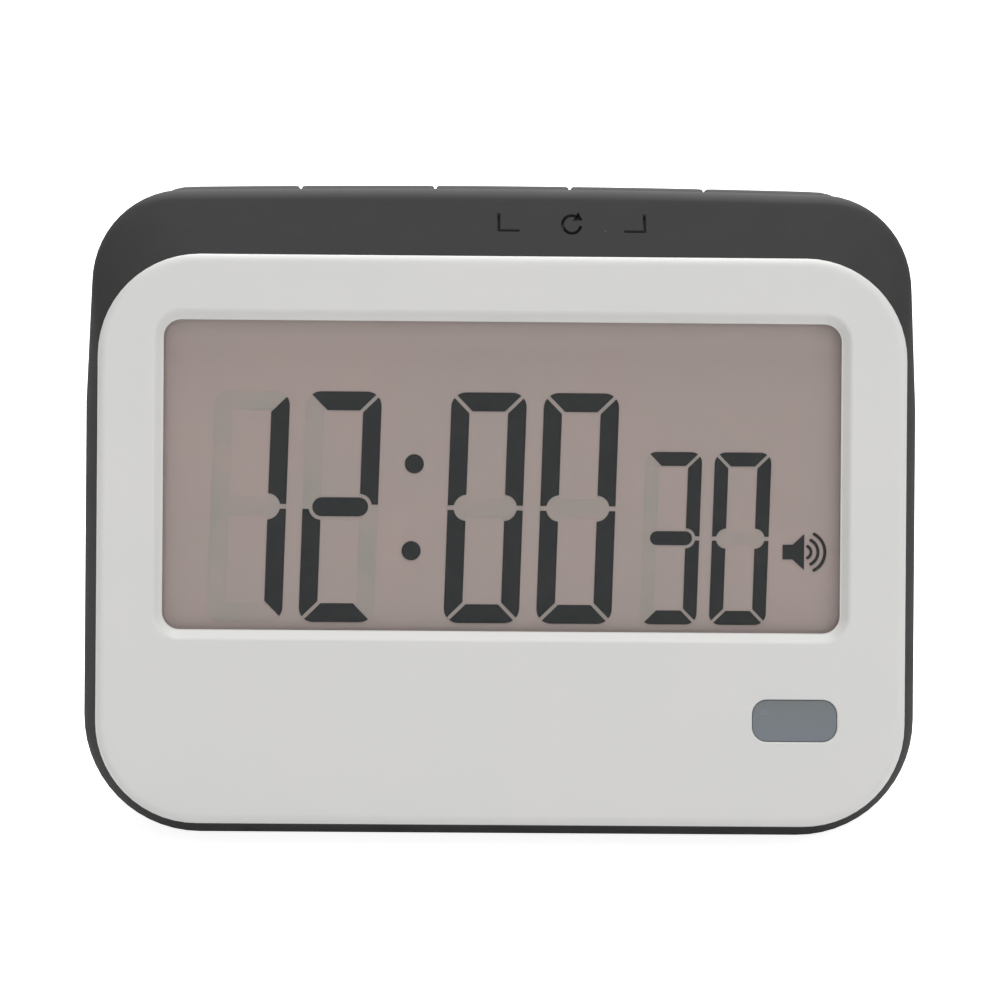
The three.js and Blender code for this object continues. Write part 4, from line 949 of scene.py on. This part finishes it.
def makeShell():
    shell = shellOuter()
    addShellInside(shell)
    cut(shell, block("bay", (-bayHalf, bayFront, bayLow), (bayHalf, backY + through, bayTop)))
    cut(shell, doorRecessCutter())
    cut(shell, loft("padRecess", [padLoop(rise, -fit, 6) for rise in (-through, padTop + layer)]))
    pilotEnds = (keyBoardTop - through, keyBoardTop + shellForm["keyPilotLength"])
    slotFront = backY - wall - doorForm["tabSwing"]
    half = doorForm["tabWidth"] / 2 + fit
    for side in bothSides:
        foot = postFoot(side)
        cut(shell, rod("screwHole", foot, depthAxis, shellForm["holeRadius"], lipBack, postEnd, 24))
        surface = (backY - foot.y) / depthAxis.y
        levels = (shellForm["wellSeat"], surface, shellForm["wellRound"], surface + shellForm["wellReach"])
        cut(shell, flaredHole("screwWell", foot, depthAxis, shellForm["wellRadius"], *levels, 40))
        cut(shell, rod("keyPilot", keyBossFoot(side), riseAxis, pilotRadius, *pilotEnds, 16))
        tabX = side * doorForm["tabSpacing"] / 2
        cut(shell, block("tabSlot", (tabX - half, slotFront, doorTabLow - 2 * fit),
                         (tabX + half, backY - wall, bayLow + fit)))
    half = bayForm["tabWidth"] / 2 + fit
    for z in (upperCellZ, lowerCellZ):
        cut(shell, block("leadSlot", (-bayHalf, bayFront - bayForm["wall"] - through, z - half),
                         (-bayHalf + contactRoom + fit, bayFront + through, z + half)))
    spots = [(0, sounderForm["lift"])]
    turn = 360 / sounderForm["holeCount"]
    spots += arc(spots[0], sounderForm["holeCircle"], 0, 360 - turn, sounderForm["holeCount"] - 1)
    levels = (ringFront, backY, sounderForm["holeRound"], backY + through)
    for x, z in spots:
        cut(shell, flaredHole("soundHole", (x, 0, z), alongY, sounderForm["holeRadius"], *levels, 24))
    cut(shell, notchCutter(), keySlotCutter(), *shoulderMarks(**markForm))
    finishPiece(shell, standPlace, "softShell", "rear_shell")


makeShell()
print("shell made")


# Keys

def keyRing(centreX, c, s):  # the front is a long slope, in line with the ridge before it
    inset = keyForm["sideRun"] * c
    corner = keyForm["corner"] - inset
    front = keyFront + keyForm["frontRun"] * c
    sideDrop = keyForm["edge"] * s
    frontDrop = keyForm["frontEdge"] * (1 - c) ** 2
    loop = []
    for x, depth in outline(keyWidth / 2 - inset, front, keyBack - inset, corner, corner, steps=5):
        drop = blend(sideDrop, frontDrop, clamp((front + corner - depth) / corner))
        loop.append((centreX + x, depth, keyTop - drop))
    return loop


def makeKey(name, centreX):
    left = centreX - keyWidth / 2
    loops = [keyRing(centreX, c, s) for c, s in quarterRound(8)]
    loops.insert(0, [(x, depth, keyFlangeTop - layer) for x, depth, rise in loops[0]])
    cap = loft("keyCap_" + name, loops)
    strips = [left + keyWidth * i / keyForm["strips"] for i in range(1, keyForm["strips"])]
    edited(cap, *[partial(bpy.ops.mesh.bisect, plane_co=(x, 0, 0), plane_no=alongX) for x in strips])
    for vertex in cap.data.vertices:  # the top follows the deck and runs down to it at the row's ends
        if vertex.co.z > keyTop - keyForm["frontEdge"] - layer:
            fade = clamp((abs(vertex.co.x) - keyRow / 2 + keyForm["endFade"]) / keyForm["endFade"])
            vertex.co.z += crownAt(vertex.co.x) - keyForm["proud"] * fade ** 2
    flange = block("keyFlange", (left, keyFront - keyForm["flange"], keyFlangeLow),
                   (left + keyWidth, keyBack + keyForm["flange"], keyFlangeTop))
    radius = keyForm["stemRadius"]
    edge = keyForm["stemEdge"]
    profile = [(radius - edge, stemLow), (radius, stemLow + edge), (radius, keyFlangeLow + layer)]
    join(cap, flange, turned("keyStem", (centreX, keyMiddle, 0), alongZ, profile))
    finishPiece(cap, facePlace, "softKey", "key_" + name, "key_" + name)


for keyName, keyX in keyCentres.items():
    makeKey(keyName, keyX)
print("keys made")


# Battery door

doorInner = backY - doorForm["thickness"]
doorRoot = doorInner + layer


def doorTongue(width, thickness, reach, edge):
    top = bayTop - bayForm["cellGap"] - layer
    end = doorInner - reach
    tongue = block("tongue", (-width / 2, end, top - thickness), (width / 2, doorRoot, top))
    bevelEdges(tongue, lambda a, b: max(a.y, b.y) < end + layer, edge, 2)
    return tongue


def gripGrooves(count, pitch, length, radius, depth, top, point):
    groove = [(max(point, radius * (1 - s)), radius * c - length / 2) for c, s in quarterRound(4)]
    spots = [(0, backY + radius - depth, doorTop - top - i * pitch) for i in range(count)]
    return [turned("gripGroove", spot, alongX, mirrored(groove), 24) for spot in spots]


def makeDoor():
    step = doorLow + doorForm["thickness"]
    profile = [(backY, doorLow), (backY, doorTop), (doorInner, doorTop), (doorInner, step)]
    door = bar("batteryDoor", profile, -doorHalf, doorHalf)
    isAcross = runsAlong(1, doorForm["thickness"] / 2)
    foot = doorLow + doorForm["squareFoot"]

    def isCorner(a, b):
        return a.x * b.x > 0 and min(a.z, b.z) > foot and isAcross(a, b)

    bevelEdges(door, isCorner, doorForm["corner"], 4)
    bevelEdges(door, lambda a, b: min(a.y, b.y) > backY - layer, doorForm["edge"], 3)
    outer = backY - wall - fit
    inner = outer - doorForm["tabThickness"]
    low = step + layer
    high = low + doorForm["tabRoot"]
    tab = [(inner, doorTabLow), (outer, doorTabLow), (outer, low)]
    tab += [(doorRoot, low), (doorRoot, high), (inner, high)]
    half = doorForm["tabWidth"] / 2
    for side in bothSides:
        x = side * doorForm["tabSpacing"] / 2
        join(door, bar("doorTab", tab, x - half, x + half))
    join(door, doorTongue(**tongueForm))
    cut(door, *gripGrooves(**gripForm))
    finishPiece(door, standPlace, "softShell", "battery_door", "battery_door")


makeDoor()
print("battery door made")


# Base pad

def makePad():
    edge = padForm["edge"]
    soft = edge * padForm["edgeShare"]
    low = -padForm["proud"]
    levels = [(low, edge), (low + soft, soft), (low + edge, 0), (padTop, 0)]
    pad = loft("basePad", [padLoop(rise, inset, 8) for rise, inset in levels])
    finishPiece(pad, standPlace, "padFoam", "base_pad")


makePad()
print("base pad made")


# Display: lit segments, idle segments and the sound sign, between the cover and the film

displayForm = {
    "slant": 0.0295, "lit": (2.415, 2.445), "idle": (2.46, 2.485),
    "colonX": -12.13, "colonMiddle": 43.09, "colonRise": 5.92, "colonRadius": 1.31,
}
bigDigit = {
    "half": 5.13, "barHeight": 2.57, "postWidth": 2.5, "corner": 2.0, "mitre": 0.35, "pillHalf": 3.8,
    "pillRadius": 1.29, "midGap": 0.32, "biteX": 2.51, "biteRadius": 1.79,
}
smallDigit = {
    "half": 3.86, "barHeight": 1.91, "postWidth": 1.88, "corner": 1.5, "mitre": 0.3, "pillHalf": 2.87,
    "pillRadius": 0.95, "midGap": 0.28, "biteX": 1.92, "biteRadius": 1.38,
}
bigSpan = (27.37, 58.79)
smallSpan = (27.38, 50.89)
litDigits = [  # sizes, low and high edge, centre, lit segments
    (bigDigit, bigSpan, -34.49, "bc"), (bigDigit, bigSpan, -22.0, "abged"),
    (bigDigit, bigSpan, -2.25, "abcdef"), (bigDigit, bigSpan, 10.36, "abcdef"),
    (smallDigit, smallSpan, 23.1, "abgcd"), (smallDigit, smallSpan, 32.55, "abcdef"),
]
soundSign = {
    "horn": [(38.33, 36.36), (39.69, 36.36), (41.28, 34.92), (41.28, 39.83), (39.69, 38.36),
             (38.33, 38.36)],
    "waveCentre": (41.33, 37.37), "waves": (0.885, 1.845, 2.785), "waveHalf": 0.215, "span": 62,
}


def clip(points, keep):  # keeps the side of an outline where keep is positive
    kept = []
    for a, b in zip(points, points[1:] + points[:1]):
        valueA = keep(a)
        valueB = keep(b)
        if valueA >= 0:
            kept.append(a)
        if (valueA >= 0) != (valueB >= 0):
            share = valueA / (valueA - valueB)
            kept.append((blend(a[0], b[0], share), blend(a[1], b[1], share)))
    return kept


def bitten(points, inner, midGap, biteX, biteRadius):  # a post, cut round beside the pill
    fromAngle = math.degrees(math.asin(midGap / biteRadius))
    toAngle = math.degrees(math.acos((inner - biteX) / biteRadius))
    corner = min(range(len(points)), key=lambda i: math.dist(points[i], (inner, midGap)))
    bite = arc((biteX, 0), biteRadius, toAngle, fromAngle, 8)
    if points[corner - 1][1] < points[(corner + 1) % len(points)][1]:  # comes along the low edge first
        bite.reverse()
    return points[:corner] + bite + points[corner + 1:]


def digitShapes(rise, half, barHeight, postWidth, corner, mitre, pillHalf, pillRadius, midGap, biteX,
                biteRadius):
    inner = half - postWidth
    hollow = rise - barHeight
    reach = pillHalf - pillRadius
    shapes = {"whole": outline(half, -rise, rise, corner, corner, steps=8)}
    shapes["hole"] = [(sx * inner, sz * hollow) for sx, sz in fourCorners]
    shapes["pill"] = arc((reach, 0), pillRadius, -90, 90, 12) + arc((-reach, 0), pillRadius, 90, 270, 12)
    top = clip(shapes["whole"], lambda p: p[1] - hollow)
    for side in bothSides:
        top = clip(top, lambda p: (half - side * p[0]) - (rise - p[1]) - mitre)
    post = clip(shapes["whole"], lambda p: p[0] - inner)
    post = clip(post, lambda p: (rise - p[1]) - (half - p[0]) - mitre)
    post = clip(post, lambda p: p[1] - midGap)
    shapes["top"] = top
    shapes["post"] = bitten(post, inner, midGap, biteX, biteRadius)
    return shapes


def segmentOutline(shapes, letter):  # the seven segments by their usual letters
    flipX = -1 if letter in "ef" else 1
    flipZ = -1 if letter in "cde" else 1
    points = shapes[{"a": "top", "d": "top", "g": "pill"}.get(letter, "post")]
    return [(x * flipX, z * flipZ) for x, z in points]


def slanted(centreX, middle, points):
    return [(centreX + x + displayForm["slant"] * z, middle + z) for x, z in points]


def idleDigit(shapes, place):
    front, back = displayForm["idle"]
    band = prism("segment", place(shapes["whole"]), front, back)
    cut(band, prism("segment", place(shapes["hole"]), front - through, back + through))
    return join(band, prism("segment", place(shapes["pill"]), front, back))


def waveOutline(radius):
    centre = soundSign["waveCentre"]
    half = soundSign["waveHalf"]
    span = soundSign["span"]
    tips = arc(centre, radius, span, -span, 1)
    band = arc(centre, radius + half, -span, span, 20)
    band += arc(tips[0], half, span, span + 180, 6)[1:-1]
    band += arc(centre, radius - half, span, -span, 20)
    return band + arc(tips[1], half, 180 - span, 360 - span, 6)[1:-1]


def litSegment(points):
    return prism("segment", points, *displayForm["lit"])


def makeDisplay():
    lit = []
    idle = []
    for form, (low, high), centreX, letters in litDigits:
        digit = digitShapes((high - low) / 2, **form)
        place = partial(slanted, centreX, (low + high) / 2)
        lit += [litSegment(place(segmentOutline(digit, letter))) for letter in letters]
        idle.append(idleDigit(digit, place))
    for side in bothSides:
        x = displayForm["colonX"] + side * displayForm["slant"] * displayForm["colonRise"]
        rise = displayForm["colonMiddle"] + side * displayForm["colonRise"]
        lit.append(litSegment(arc((x, rise), displayForm["colonRadius"], 0, 345, 23)))
    lit.append(litSegment(soundSign["horn"]))
    lit += [litSegment(waveOutline(radius)) for radius in soundSign["waves"]]
    finishPiece(merge("displayLit", lit), facePlace, "litSegment")
    finishPiece(merge("displayIdle", idle), facePlace, "idleSegment")


makeDisplay()
print("display made")


# Battery cells

cellForm = {
    "nub": 1.9, "nubLength": 1.0, "nubRound": 0.3, "edge": 0.5, "foot": [(3.6, 0.15), (3.8, 0.0)],
    "ring": 3.4, "lip": 0.02, "step": 0.1, "drop": 0.25, "bareDepth": 0.16, "bareRadius": 4.2,
}


def twoLooks(piece, looksUsed, isSecond):  # isSecond takes a face's centre
    for look in looksUsed:
        piece.data.materials.append(finishes[look])
    for face in piece.data.polygons:
        face.material_index = 1 if isSecond(face.center) else 0


def makeCell(end, base, direction, nub, nubLength, nubRound, edge, foot, ring, lip, step, drop, bareDepth,
             bareRadius):
    length = bayForm["cellLength"]
    body = length - nubLength
    profile = foot + [(cellRadius - edge * s, edge * c) for c, s in quarterRound(4)]
    profile += [(cellRadius - edge * c, body - edge * s) for c, s in quarterRound(4)]
    profile += [(ring, body - lip), (ring - step, body - drop), (nub + drop, body - drop)]
    profile += [(nub, body), (nub, length - nubRound), (nub - nubRound, length)]
    cell = turned("cell" + end, base, direction, profile, 48)

    def isBare(spot):  # bare metal at both ends
        along = (spot - Vector(base)).dot(Vector(direction))
        off = (spot - Vector(base) - Vector(direction) * along).length
        return (along < bareDepth and off < bareRadius) or (along > body - nubRound and off < ring)

    twoLooks(cell, ("cellSleeve", "steel"), isBare)
    finishPiece(cell, standPlace, None, "battery_cell_" + end.lower())


cellBase = bayForm["cellLength"] - (bayHalf - contactRoom - fit)
makeCell("Upper", (cellBase, cellY, upperCellZ), (-1, 0, 0), **cellForm)
makeCell("Lower", (-cellBase, cellY, lowerCellZ), alongX, **cellForm)
print("cells made")


# Contacts: pressed plates with round-wire springs

springForm = {"turns": 3.5, "wire": 0.6, "baseRadius": 3.4, "tipRadius": 2.2, "steps": 24}


def tubeAlong(name, points, radius):  # a round wire along a path
    curve = bpy.data.curves.new(name, "CURVE")
    curve.dimensions = "3D"
    curve.bevel_depth = radius
    curve.bevel_resolution = 3
    curve.use_fill_caps = True
    path = curve.splines.new("POLY")
    path.points.add(len(points) - 1)
    for knot, point in zip(path.points, points):
        knot.co = (*point, 1)
    tube = bpy.data.objects.new(name, curve)
    scene.collection.objects.link(tube)
    makeActive(tube)
    bpy.ops.object.convert(target="MESH")
    joinCaps = partial(bpy.ops.mesh.remove_doubles, threshold=weld)
    return edited(bpy.context.object, joinCaps, faceOut)


def springCoil(x, z, side):
    steps = int(springForm["turns"] * springForm["steps"])
    reach = bayForm["springLength"] - springForm["wire"] / 2 - fit
    points = []
    for i in range(steps + 1):
        share = i / steps
        angle = 2 * math.pi * springForm["turns"] * share
        radius = blend(springForm["baseRadius"], springForm["tipRadius"], share)
        points.append((x + side * reach * share, cellY + side * radius * math.cos(angle),
                       z + radius * math.sin(angle)))
    return tubeAlong("spring", points, springForm["wire"] / 2)


def contactPlate(side, lowZ, highZ, hasTab):
    ends = sorted((side * (bayHalf - layer), side * (bayHalf - contactRoom)))
    half = bayForm["contactSize"] / 2
    plateLow = (ends[0], cellY - half, lowZ - half)
    pressed = block("contactPlate", plateLow, (ends[1], cellY + half, highZ + half))
    bevelEdges(pressed, runsAlong(0, bayForm["contactThickness"] / 2), bayForm["contactCorner"], 4)
    if hasTab:
        half = bayForm["tabWidth"] / 2
        join(pressed, block("solderTab", (ends[0], tabTip, lowZ - half), (ends[1], cellY, lowZ + half)))
    return pressed


def makeContacts():
    inner = bayHalf - contactRoom
    positive = contactPlate(-1, upperCellZ, upperCellZ, True)
    join(positive, turned("nubBoss", (-inner, cellY, upperCellZ), alongX, bayForm["nubBoss"], 24))
    positive.name = "contactPositive"
    negative = contactPlate(-1, lowerCellZ, lowerCellZ, True)
    negative = merge("contactNegative", [negative, springCoil(-inner, lowerCellZ, 1)])
    bridge = contactPlate(1, lowerCellZ, upperCellZ, False)
    bridge = merge("contactBridge", [bridge, springCoil(inner, upperCellZ, -1)])
    for piece, kind in ((positive, "positive"), (negative, "negative"), (bridge, "bridge")):
        finishPiece(piece, standPlace, "steel", "contact_" + kind)


makeContacts()
print("contacts made")


# Screws with a cross drive

caseScrew = {
    "body": {"head": 2.4, "height": 1.6, "edge": 0.8, "shank": 1.0, "length": 18.0, "thread": 8.0},
    "slot": {"width": 0.55, "reach": 1.25, "depth": 1.0},
}
boardScrew = {
    "body": {"head": 1.9, "height": 1.3, "edge": 0.6, "shank": 0.9, "length": 6.0, "thread": 4.2},
    "slot": {"width": 0.5, "reach": 1.1, "depth": 0.75},
}
threadForm = {"pitch": 0.7, "depth": 0.18, "tip": 1.0, "point": 0.05, "flat": 0.3, "flank": 0.4}
driveForm = {"footShare": 0.6, "topShare": 1.1, "past": 0.5}


def screwProfile(head, height, edge, shank, length, thread):  # the head stands at 0, the shank below it
    core = shank - threadForm["depth"]
    pitch = threadForm["pitch"]
    tip = threadForm["tip"] - length
    profile = [(threadForm["point"], -length), (core, tip)]
    for i in range(int(thread / pitch)):
        start = tip + pitch * (i + threadForm["flat"])
        profile += [(core, start), (shank, start + pitch * threadForm["flank"])]
    profile += [(shank, 0.0), (head, 0.0)]
    return profile + [(head - edge * c, height - edge * s) for c, s in quarterRound(5)]


def driveSlots(base, axis, height, width, reach, depth):
    across = Vector(alongX)
    beside = axis.cross(across)
    levels = ((height - depth, driveForm["footShare"]), (height + driveForm["past"], driveForm["topShare"]))
    tools = []
    for long, wide in ((reach, width / 2), (width / 2, reach)):
        turns = [across * sx * long + beside * sz * wide for sx, sz in fourCorners]
        loops = [[Vector(base) + axis * level + turn * share for turn in turns] for level, share in levels]
        tools.append(loft("drive", loops))
    return tools


def makeScrew(name, node, form, base, along):
    screw = turned(name, base, Vector(along), screwProfile(**form["body"]))
    cut(screw, *driveSlots(base, Vector(along), form["body"]["height"], **form["slot"]))
    finishPiece(screw, facePlace, "steel", node)


partBase = boardBack + layer
for i, side in enumerate(bothSides, 1):
    caseSeat = (side * postX, shellForm["wellSeat"] + layer, postRise)
    makeScrew(f"caseScrew_{i}", f"case_screw_{i}", caseScrew, caseSeat, alongY)
    keySeat = (side * keyBossX, keyMiddle, keyBoardLow - layer)
    makeScrew(f"keyBoardScrew_{i}", f"key_board_screw_{i}", boardScrew, keySeat, (0, 0, -1))
for i, (x, rise) in enumerate(boardScrewSpots, 1):
    makeScrew(f"boardScrew_{i}", f"board_screw_{i}", boardScrew, (x, partBase, rise), alongY)
print("screws made")


# Sounder and leads

leadForm = {"radius": 0.6, "bend": 3.0, "spacing": 5.0, "landingX": 24.75, "smoothing": 4}
discForm = {
    "thickness": 0.4, "elementRadius": 9.0, "elementThickness": 0.3, "edge": 0.08,
    "solder": [(1.25, -0.04), (1.2, 0.1), (0.95, 0.38), (0.7, 0.56), (0.35, 0.66)],
}
discBack = ringFront - layer
discFront = discBack - discForm["thickness"]
elementBack = discFront - layer
elementFront = elementBack - discForm["elementThickness"]
elementRadius = discForm["elementRadius"]
elementTap = (elementRadius / 2, elementFront, sounderForm["lift"])
discTap = ((elementRadius + sounderForm["radius"]) / 2, discFront, sounderForm["lift"])
solderTabX = -bayHalf + layer + bayForm["contactThickness"] / 2
spacing = leadForm["spacing"]
buzzerRise = windowForm["top"] - 2 * spacing
batteryX = -leadForm["landingX"]
leadEnds = {  # the start in the stand frame, and x and rise of the landing on the board in the face frame
    ("battery", "Red"): ((solderTabX, tabTip, upperCellZ), (batteryX, windowForm["low"] + spacing)),
    ("battery", "Black"): ((solderTabX, tabTip, lowerCellZ), (batteryX, windowForm["low"])),
    ("buzzer", "Red"): (elementTap, (spacing, buzzerRise)),
    ("buzzer", "Black"): (discTap, (2 * spacing, buzzerRise)),
}


def soldered(piece, look, spots, along):  # domes of solder kept in the piece's mesh
    piece.data.materials.append(finishes[look])
    domes = [turned("solder", spot, along, discForm["solder"], 20) for spot in spots]
    for dome in domes:
        dome.data.materials.append(finishes["steel"])
    return merge(piece.name, [piece] + domes)


def makeRoundPlate(name, node, look, radius, front, back, tap):
    edge = discForm["edge"]
    profile = [(radius - edge, front), (radius, front + edge), (radius, back - edge), (radius - edge, back)]
    piece = soldered(turned(name, sounderSpot, alongY, profile, 64), look, [tap], (0, -1, 0))
    finishPiece(piece, standPlace, None, node)


def makeLead(source, colour, start, landing):
    start = Vector(start) - Vector((0, fit, 0))
    end = leanInStand @ Vector((landing[0], boardBack + fit, landing[1]))
    points = [start, start - Vector((0, leadForm["bend"], 0)), end + depthAxis * leadForm["bend"], end]
    for _ in range(leadForm["smoothing"]):  # corners cut until the route is smooth
        inner = [a.lerp(b, share) for a, b in zip(points, points[1:]) for share in (0.25, 0.75)]
        points = [start] + inner + [end]
    lead = tubeAlong(source + "Lead" + colour, points, leadForm["radius"])
    shade = colour.lower()
    finishPiece(lead, standPlace, "wire" + colour, f"{source}_lead_{shade}")


roundPlates = {
    "buzzerDisc": ("buzzer_disc", "brass", sounderForm["radius"], discFront, discBack, discTap),
    "buzzerElement": ("buzzer_element", "ceramic", elementRadius, elementFront, elementBack, elementTap),
}
for plateName, plateValues in roundPlates.items():
    makeRoundPlate(plateName, *plateValues)
for leadName, leadEnd in leadEnds.items():
    makeLead(*leadName, *leadEnd)
print("sounder and leads made")


# Boards, switches and the ribbon between them

laminateForm = {"low": 6.0, "side": 5.5, "corner": 0.9, "hole": 1.2, "keyEdge": 2.8}
ribbonForm = {"width": 10.0, "thickness": 0.3, "inset": 2.0, "drop": 5.0, "slack": 4.0, "steps": 28}
halfBoard = boardForm["thickness"] / 2


def makeMainBoard():
    lowHalf = postX - shellForm["postRadius"] - 2 * fit
    highHalf = bezelHalf - laminateForm["side"]
    neck = postRise + shellForm["postRadius"] + fit
    right = [(lowHalf, laminateForm["low"]), (lowHalf, neck), (highHalf, neck), (highHalf, boardForm["top"])]
    left = [(-x, rise) for x, rise in reversed(right)]
    board = prism("mainBoard", right + left, boardForm["front"], boardBack)
    bevelEdges(board, runsAlong(1, halfBoard), laminateForm["corner"], 4)
    ends = (boardForm["front"] - through, boardBack + through)
    for x, rise in boardScrewSpots:
        cut(board, rod("screwHole", (x, 0, rise), alongY, laminateForm["hole"], *ends, 24))
    spots = [(x, boardBack, rise) for start, (x, rise) in leadEnds.values()]
    board = soldered(board, "boardLaminate", spots, alongY)
    finishPiece(board, facePlace, None, "main_board")


def makeKeyBoard():
    half = keyBossX + laminateForm["keyEdge"]
    size = switchForm["size"]
    board = block("keyBoard", (-half, keyMiddle - size, keyBoardLow), (half, keyMiddle + size, keyBoardTop))
    bevelEdges(board, runsAlong(2, halfBoard), laminateForm["corner"], 4)
    ends = (keyBoardLow - through, keyBoardTop + through)
    for side in bothSides:
        spot = (side * keyBossX, keyMiddle, 0)
        cut(board, rod("screwHole", spot, alongZ, laminateForm["hole"], *ends, 24))
    finishPiece(board, facePlace, "boardLaminate", "key_board")


def makeSwitch(name, centreX):
    half = switchForm["size"] / 2
    edge = switchForm["edge"]
    radius = switchForm["plunger"]
    axisFoot = (centreX, keyMiddle, 0)
    body = block("switchBody_" + name, (centreX - half, keyMiddle - half, switchTop - switchForm["height"]),
                 (centreX + half, keyMiddle + half, switchTop))
    bevelEdges(body, lambda a, b: True, edge, 2)
    foot = switchTop - switchForm["depth"]
    boreLow = foot - switchForm["travel"] - fit
    cut(body, rod("bore", axisFoot, alongZ, radius + fit, boreLow, switchTop + through))
    spread = switchForm["rivetSpacing"]
    for sx, sy in fourCorners:
        spot = (centreX + sx * spread, keyMiddle + sy * spread, switchTop)
        join(body, turned("rivet", spot, alongZ, switchForm["rivet"], 12))
    finishPiece(body, facePlace, "blackPlastic", "switch_body_" + name)
    profile = [(radius, foot)] + [(radius - edge * c, plungerTop - edge * s) for c, s in quarterRound(3)]
    plunger = turned("switchPlunger_" + name, axisFoot, alongZ, profile)
    finishPiece(plunger, facePlace, "blackPlastic", "switch_plunger_" + name, "key_" + name)


def makeRibbon():
    start = Vector((keyMiddle - switchForm["size"] + ribbonForm["inset"], keyBoardLow - fit))
    end = Vector((boardBack + fit, boardForm["top"] - ribbonForm["drop"]))
    pullStart = start - Vector((0, ribbonForm["slack"]))
    pullEnd = end + Vector((ribbonForm["slack"], 0))
    steps = ribbonForm["steps"]
    path = []
    for i in range(steps + 1):
        s = i / steps
        r = 1 - s
        path.append(start * r ** 3 + pullStart * 3 * s * r ** 2 + pullEnd * 3 * s * s * r + end * s ** 3)
    upper = []
    lower = []
    for i, point in enumerate(path):
        ahead = path[min(i + 1, steps)] - path[max(i - 1, 0)]
        beside = Vector((-ahead.y, ahead.x)).normalized() * ribbonForm["thickness"] / 2
        upper.append(point + beside)
        lower.insert(0, point - beside)
    half = ribbonForm["width"] / 2
    ribbon = bar("keyRibbon", upper + lower, -half, half)
    finishPiece(ribbon, facePlace, "ribbonFilm", "key_ribbon")


makeMainBoard()
makeKeyBoard()
makeRibbon()
for keyName, keyX in keyCentres.items():
    makeSwitch(keyName, keyX)
print("boards made")


# Parts on the main board, each turned about its own axis

partForm = {
    "rise": 7.0,
    "blob": {"x": -12.4, "radius": 7.0, "height": 2.0},
    "crystal": {"x": 9.9, "radius": 1.5, "foot": [(-0.25, 0), (0, 0.15), (0, 0.5), (-0.12, 0.65)],
                "length": 8.0, "end": [(-0.12, -0.5), (-0.3, -0.15), (-0.6, 0)]},
    "capacitor": {"x": 22.3, "radius": 2.5, "foot": [(-0.2, 0), (0, 0.2), (0, 0.7), (-0.2, 0.95), (0, 1.2)],
                  "length": 6.0, "end": [(0, -0.35), (-0.1, -0.1), (-0.35, 0), (-0.6, 0)],
                  "ventHalf": 1.5, "ventWidth": 0.1, "ventDepth": 0.12},
    "coil": {"x": 29.7, "radius": 3.5, "height": 5.0, "flange": 1.0, "waist": 2.6, "wire": 0.25, "edge": 0.15,
             "valley": 0.02},
    "led": {"radius": 2.3, "flange": 0.35, "collar": 1.0, "edge": 0.1},
}
partLow = windowMiddle - partForm["rise"]
partHigh = windowMiddle + partForm["rise"]


def canProfile(radius, foot, length, end):  # foot and end are steps from the radius
    profile = [(radius + step, along) for step, along in foot]
    return profile + [(radius + step, length + along) for step, along in end]


def makeBlob(x, radius, height):
    dome = [(radius * math.cos(a), height * math.sin(a)) for a in quarter(10)[:-1]]
    blob = turned("chipBlob", (x, partBase, windowMiddle), alongY, dome, 48)
    finishPiece(blob, facePlace, "epoxy", "chip_blob")


def makeCrystal(x, radius, foot, length, end):
    base = (x - length / 2, partBase + radius, partHigh)
    can = turned("crystalCan", base, alongX, canProfile(radius, foot, length, end))
    finishPiece(can, facePlace, "steel", "crystal")


def makeCapacitor(x, radius, foot, length, end, ventHalf, ventWidth, ventDepth):
    z = partLow
    can = turned("capacitorCan", (x, partBase, z), alongY, canProfile(radius, foot, length, end), 40)
    top = partBase + length
    for wide, tall in ((ventHalf, ventWidth), (ventWidth, ventHalf)):
        cut(can, block("vent", (x - wide, top - ventDepth, z - tall), (x + wide, top + through, z + tall)))
    finishPiece(can, facePlace, "blackPlastic", "capacitor")


def makeCoil(x, radius, height, flange, waist, wire, edge, valley):
    top = height - flange
    rim = [(radius - edge, 0), (radius, edge), (radius, flange - edge), (radius - edge, flange)]
    profile = list(rim)
    for i in range(int((top - flange) / wire)):  # one bulge for each turn of the winding
        start = flange + i * wire
        profile += [(waist + valley, start), (waist + wire / 2, start + wire / 2)]
    profile.append((waist + valley, top))
    profile += [(r, height - d) for r, d in reversed(rim)]
    coil = turned("buzzerCoil", (x, partBase, partHigh), alongY, profile, 40)
    twoLooks(coil, ("epoxy", "copperWire"), lambda spot: flange < spot.y - partBase < top)
    finishPiece(coil, facePlace, None, "buzzer_coil")


def makeLed(radius, flange, collar, edge):
    base = (lensForm["x"], boardForm["front"] - layer, lensForm["rise"])
    straight = base[1] - flangeBack - 2 * fit - radius
    rim = radius + flange
    profile = [(rim, 0), (rim, collar - edge), (rim - edge, collar), (radius, collar)]
    profile += [(radius * math.cos(a), straight + radius * math.sin(a)) for a in quarter(10)[:-1]]
    led = turned("alarmLed", base, (0, -1, 0), profile, 40)
    finishPiece(led, facePlace, "ledEpoxy", "alarm_led")


makeBlob(**partForm["blob"])
makeCrystal(**partForm["crystal"])
makeCapacitor(**partForm["capacitor"])
makeCoil(**partForm["coil"])
makeLed(**partForm["led"])
print("board parts made")


# The display's flat layers keep their CAD shape and get their finish

carriedOver = {
    "clearCover": ["display_window"],
    "displayFilm": ["lcd_polariser", "lcd_reflector"],
    "displayGlass": ["lcd_front_glass", "lcd_rear_glass"],
    "blackPlastic": ["lcd_frame"],
    "stripRubber": ["zebra_strip_bottom", "zebra_strip_top"],
}
for finishName, nodeNames in carriedOver.items():
    for nodeName in nodeNames:
        for materialSlot in nodes[nodeName].material_slots:
            materialSlot.material = finishes[finishName]
print("carried-over nodes finished")
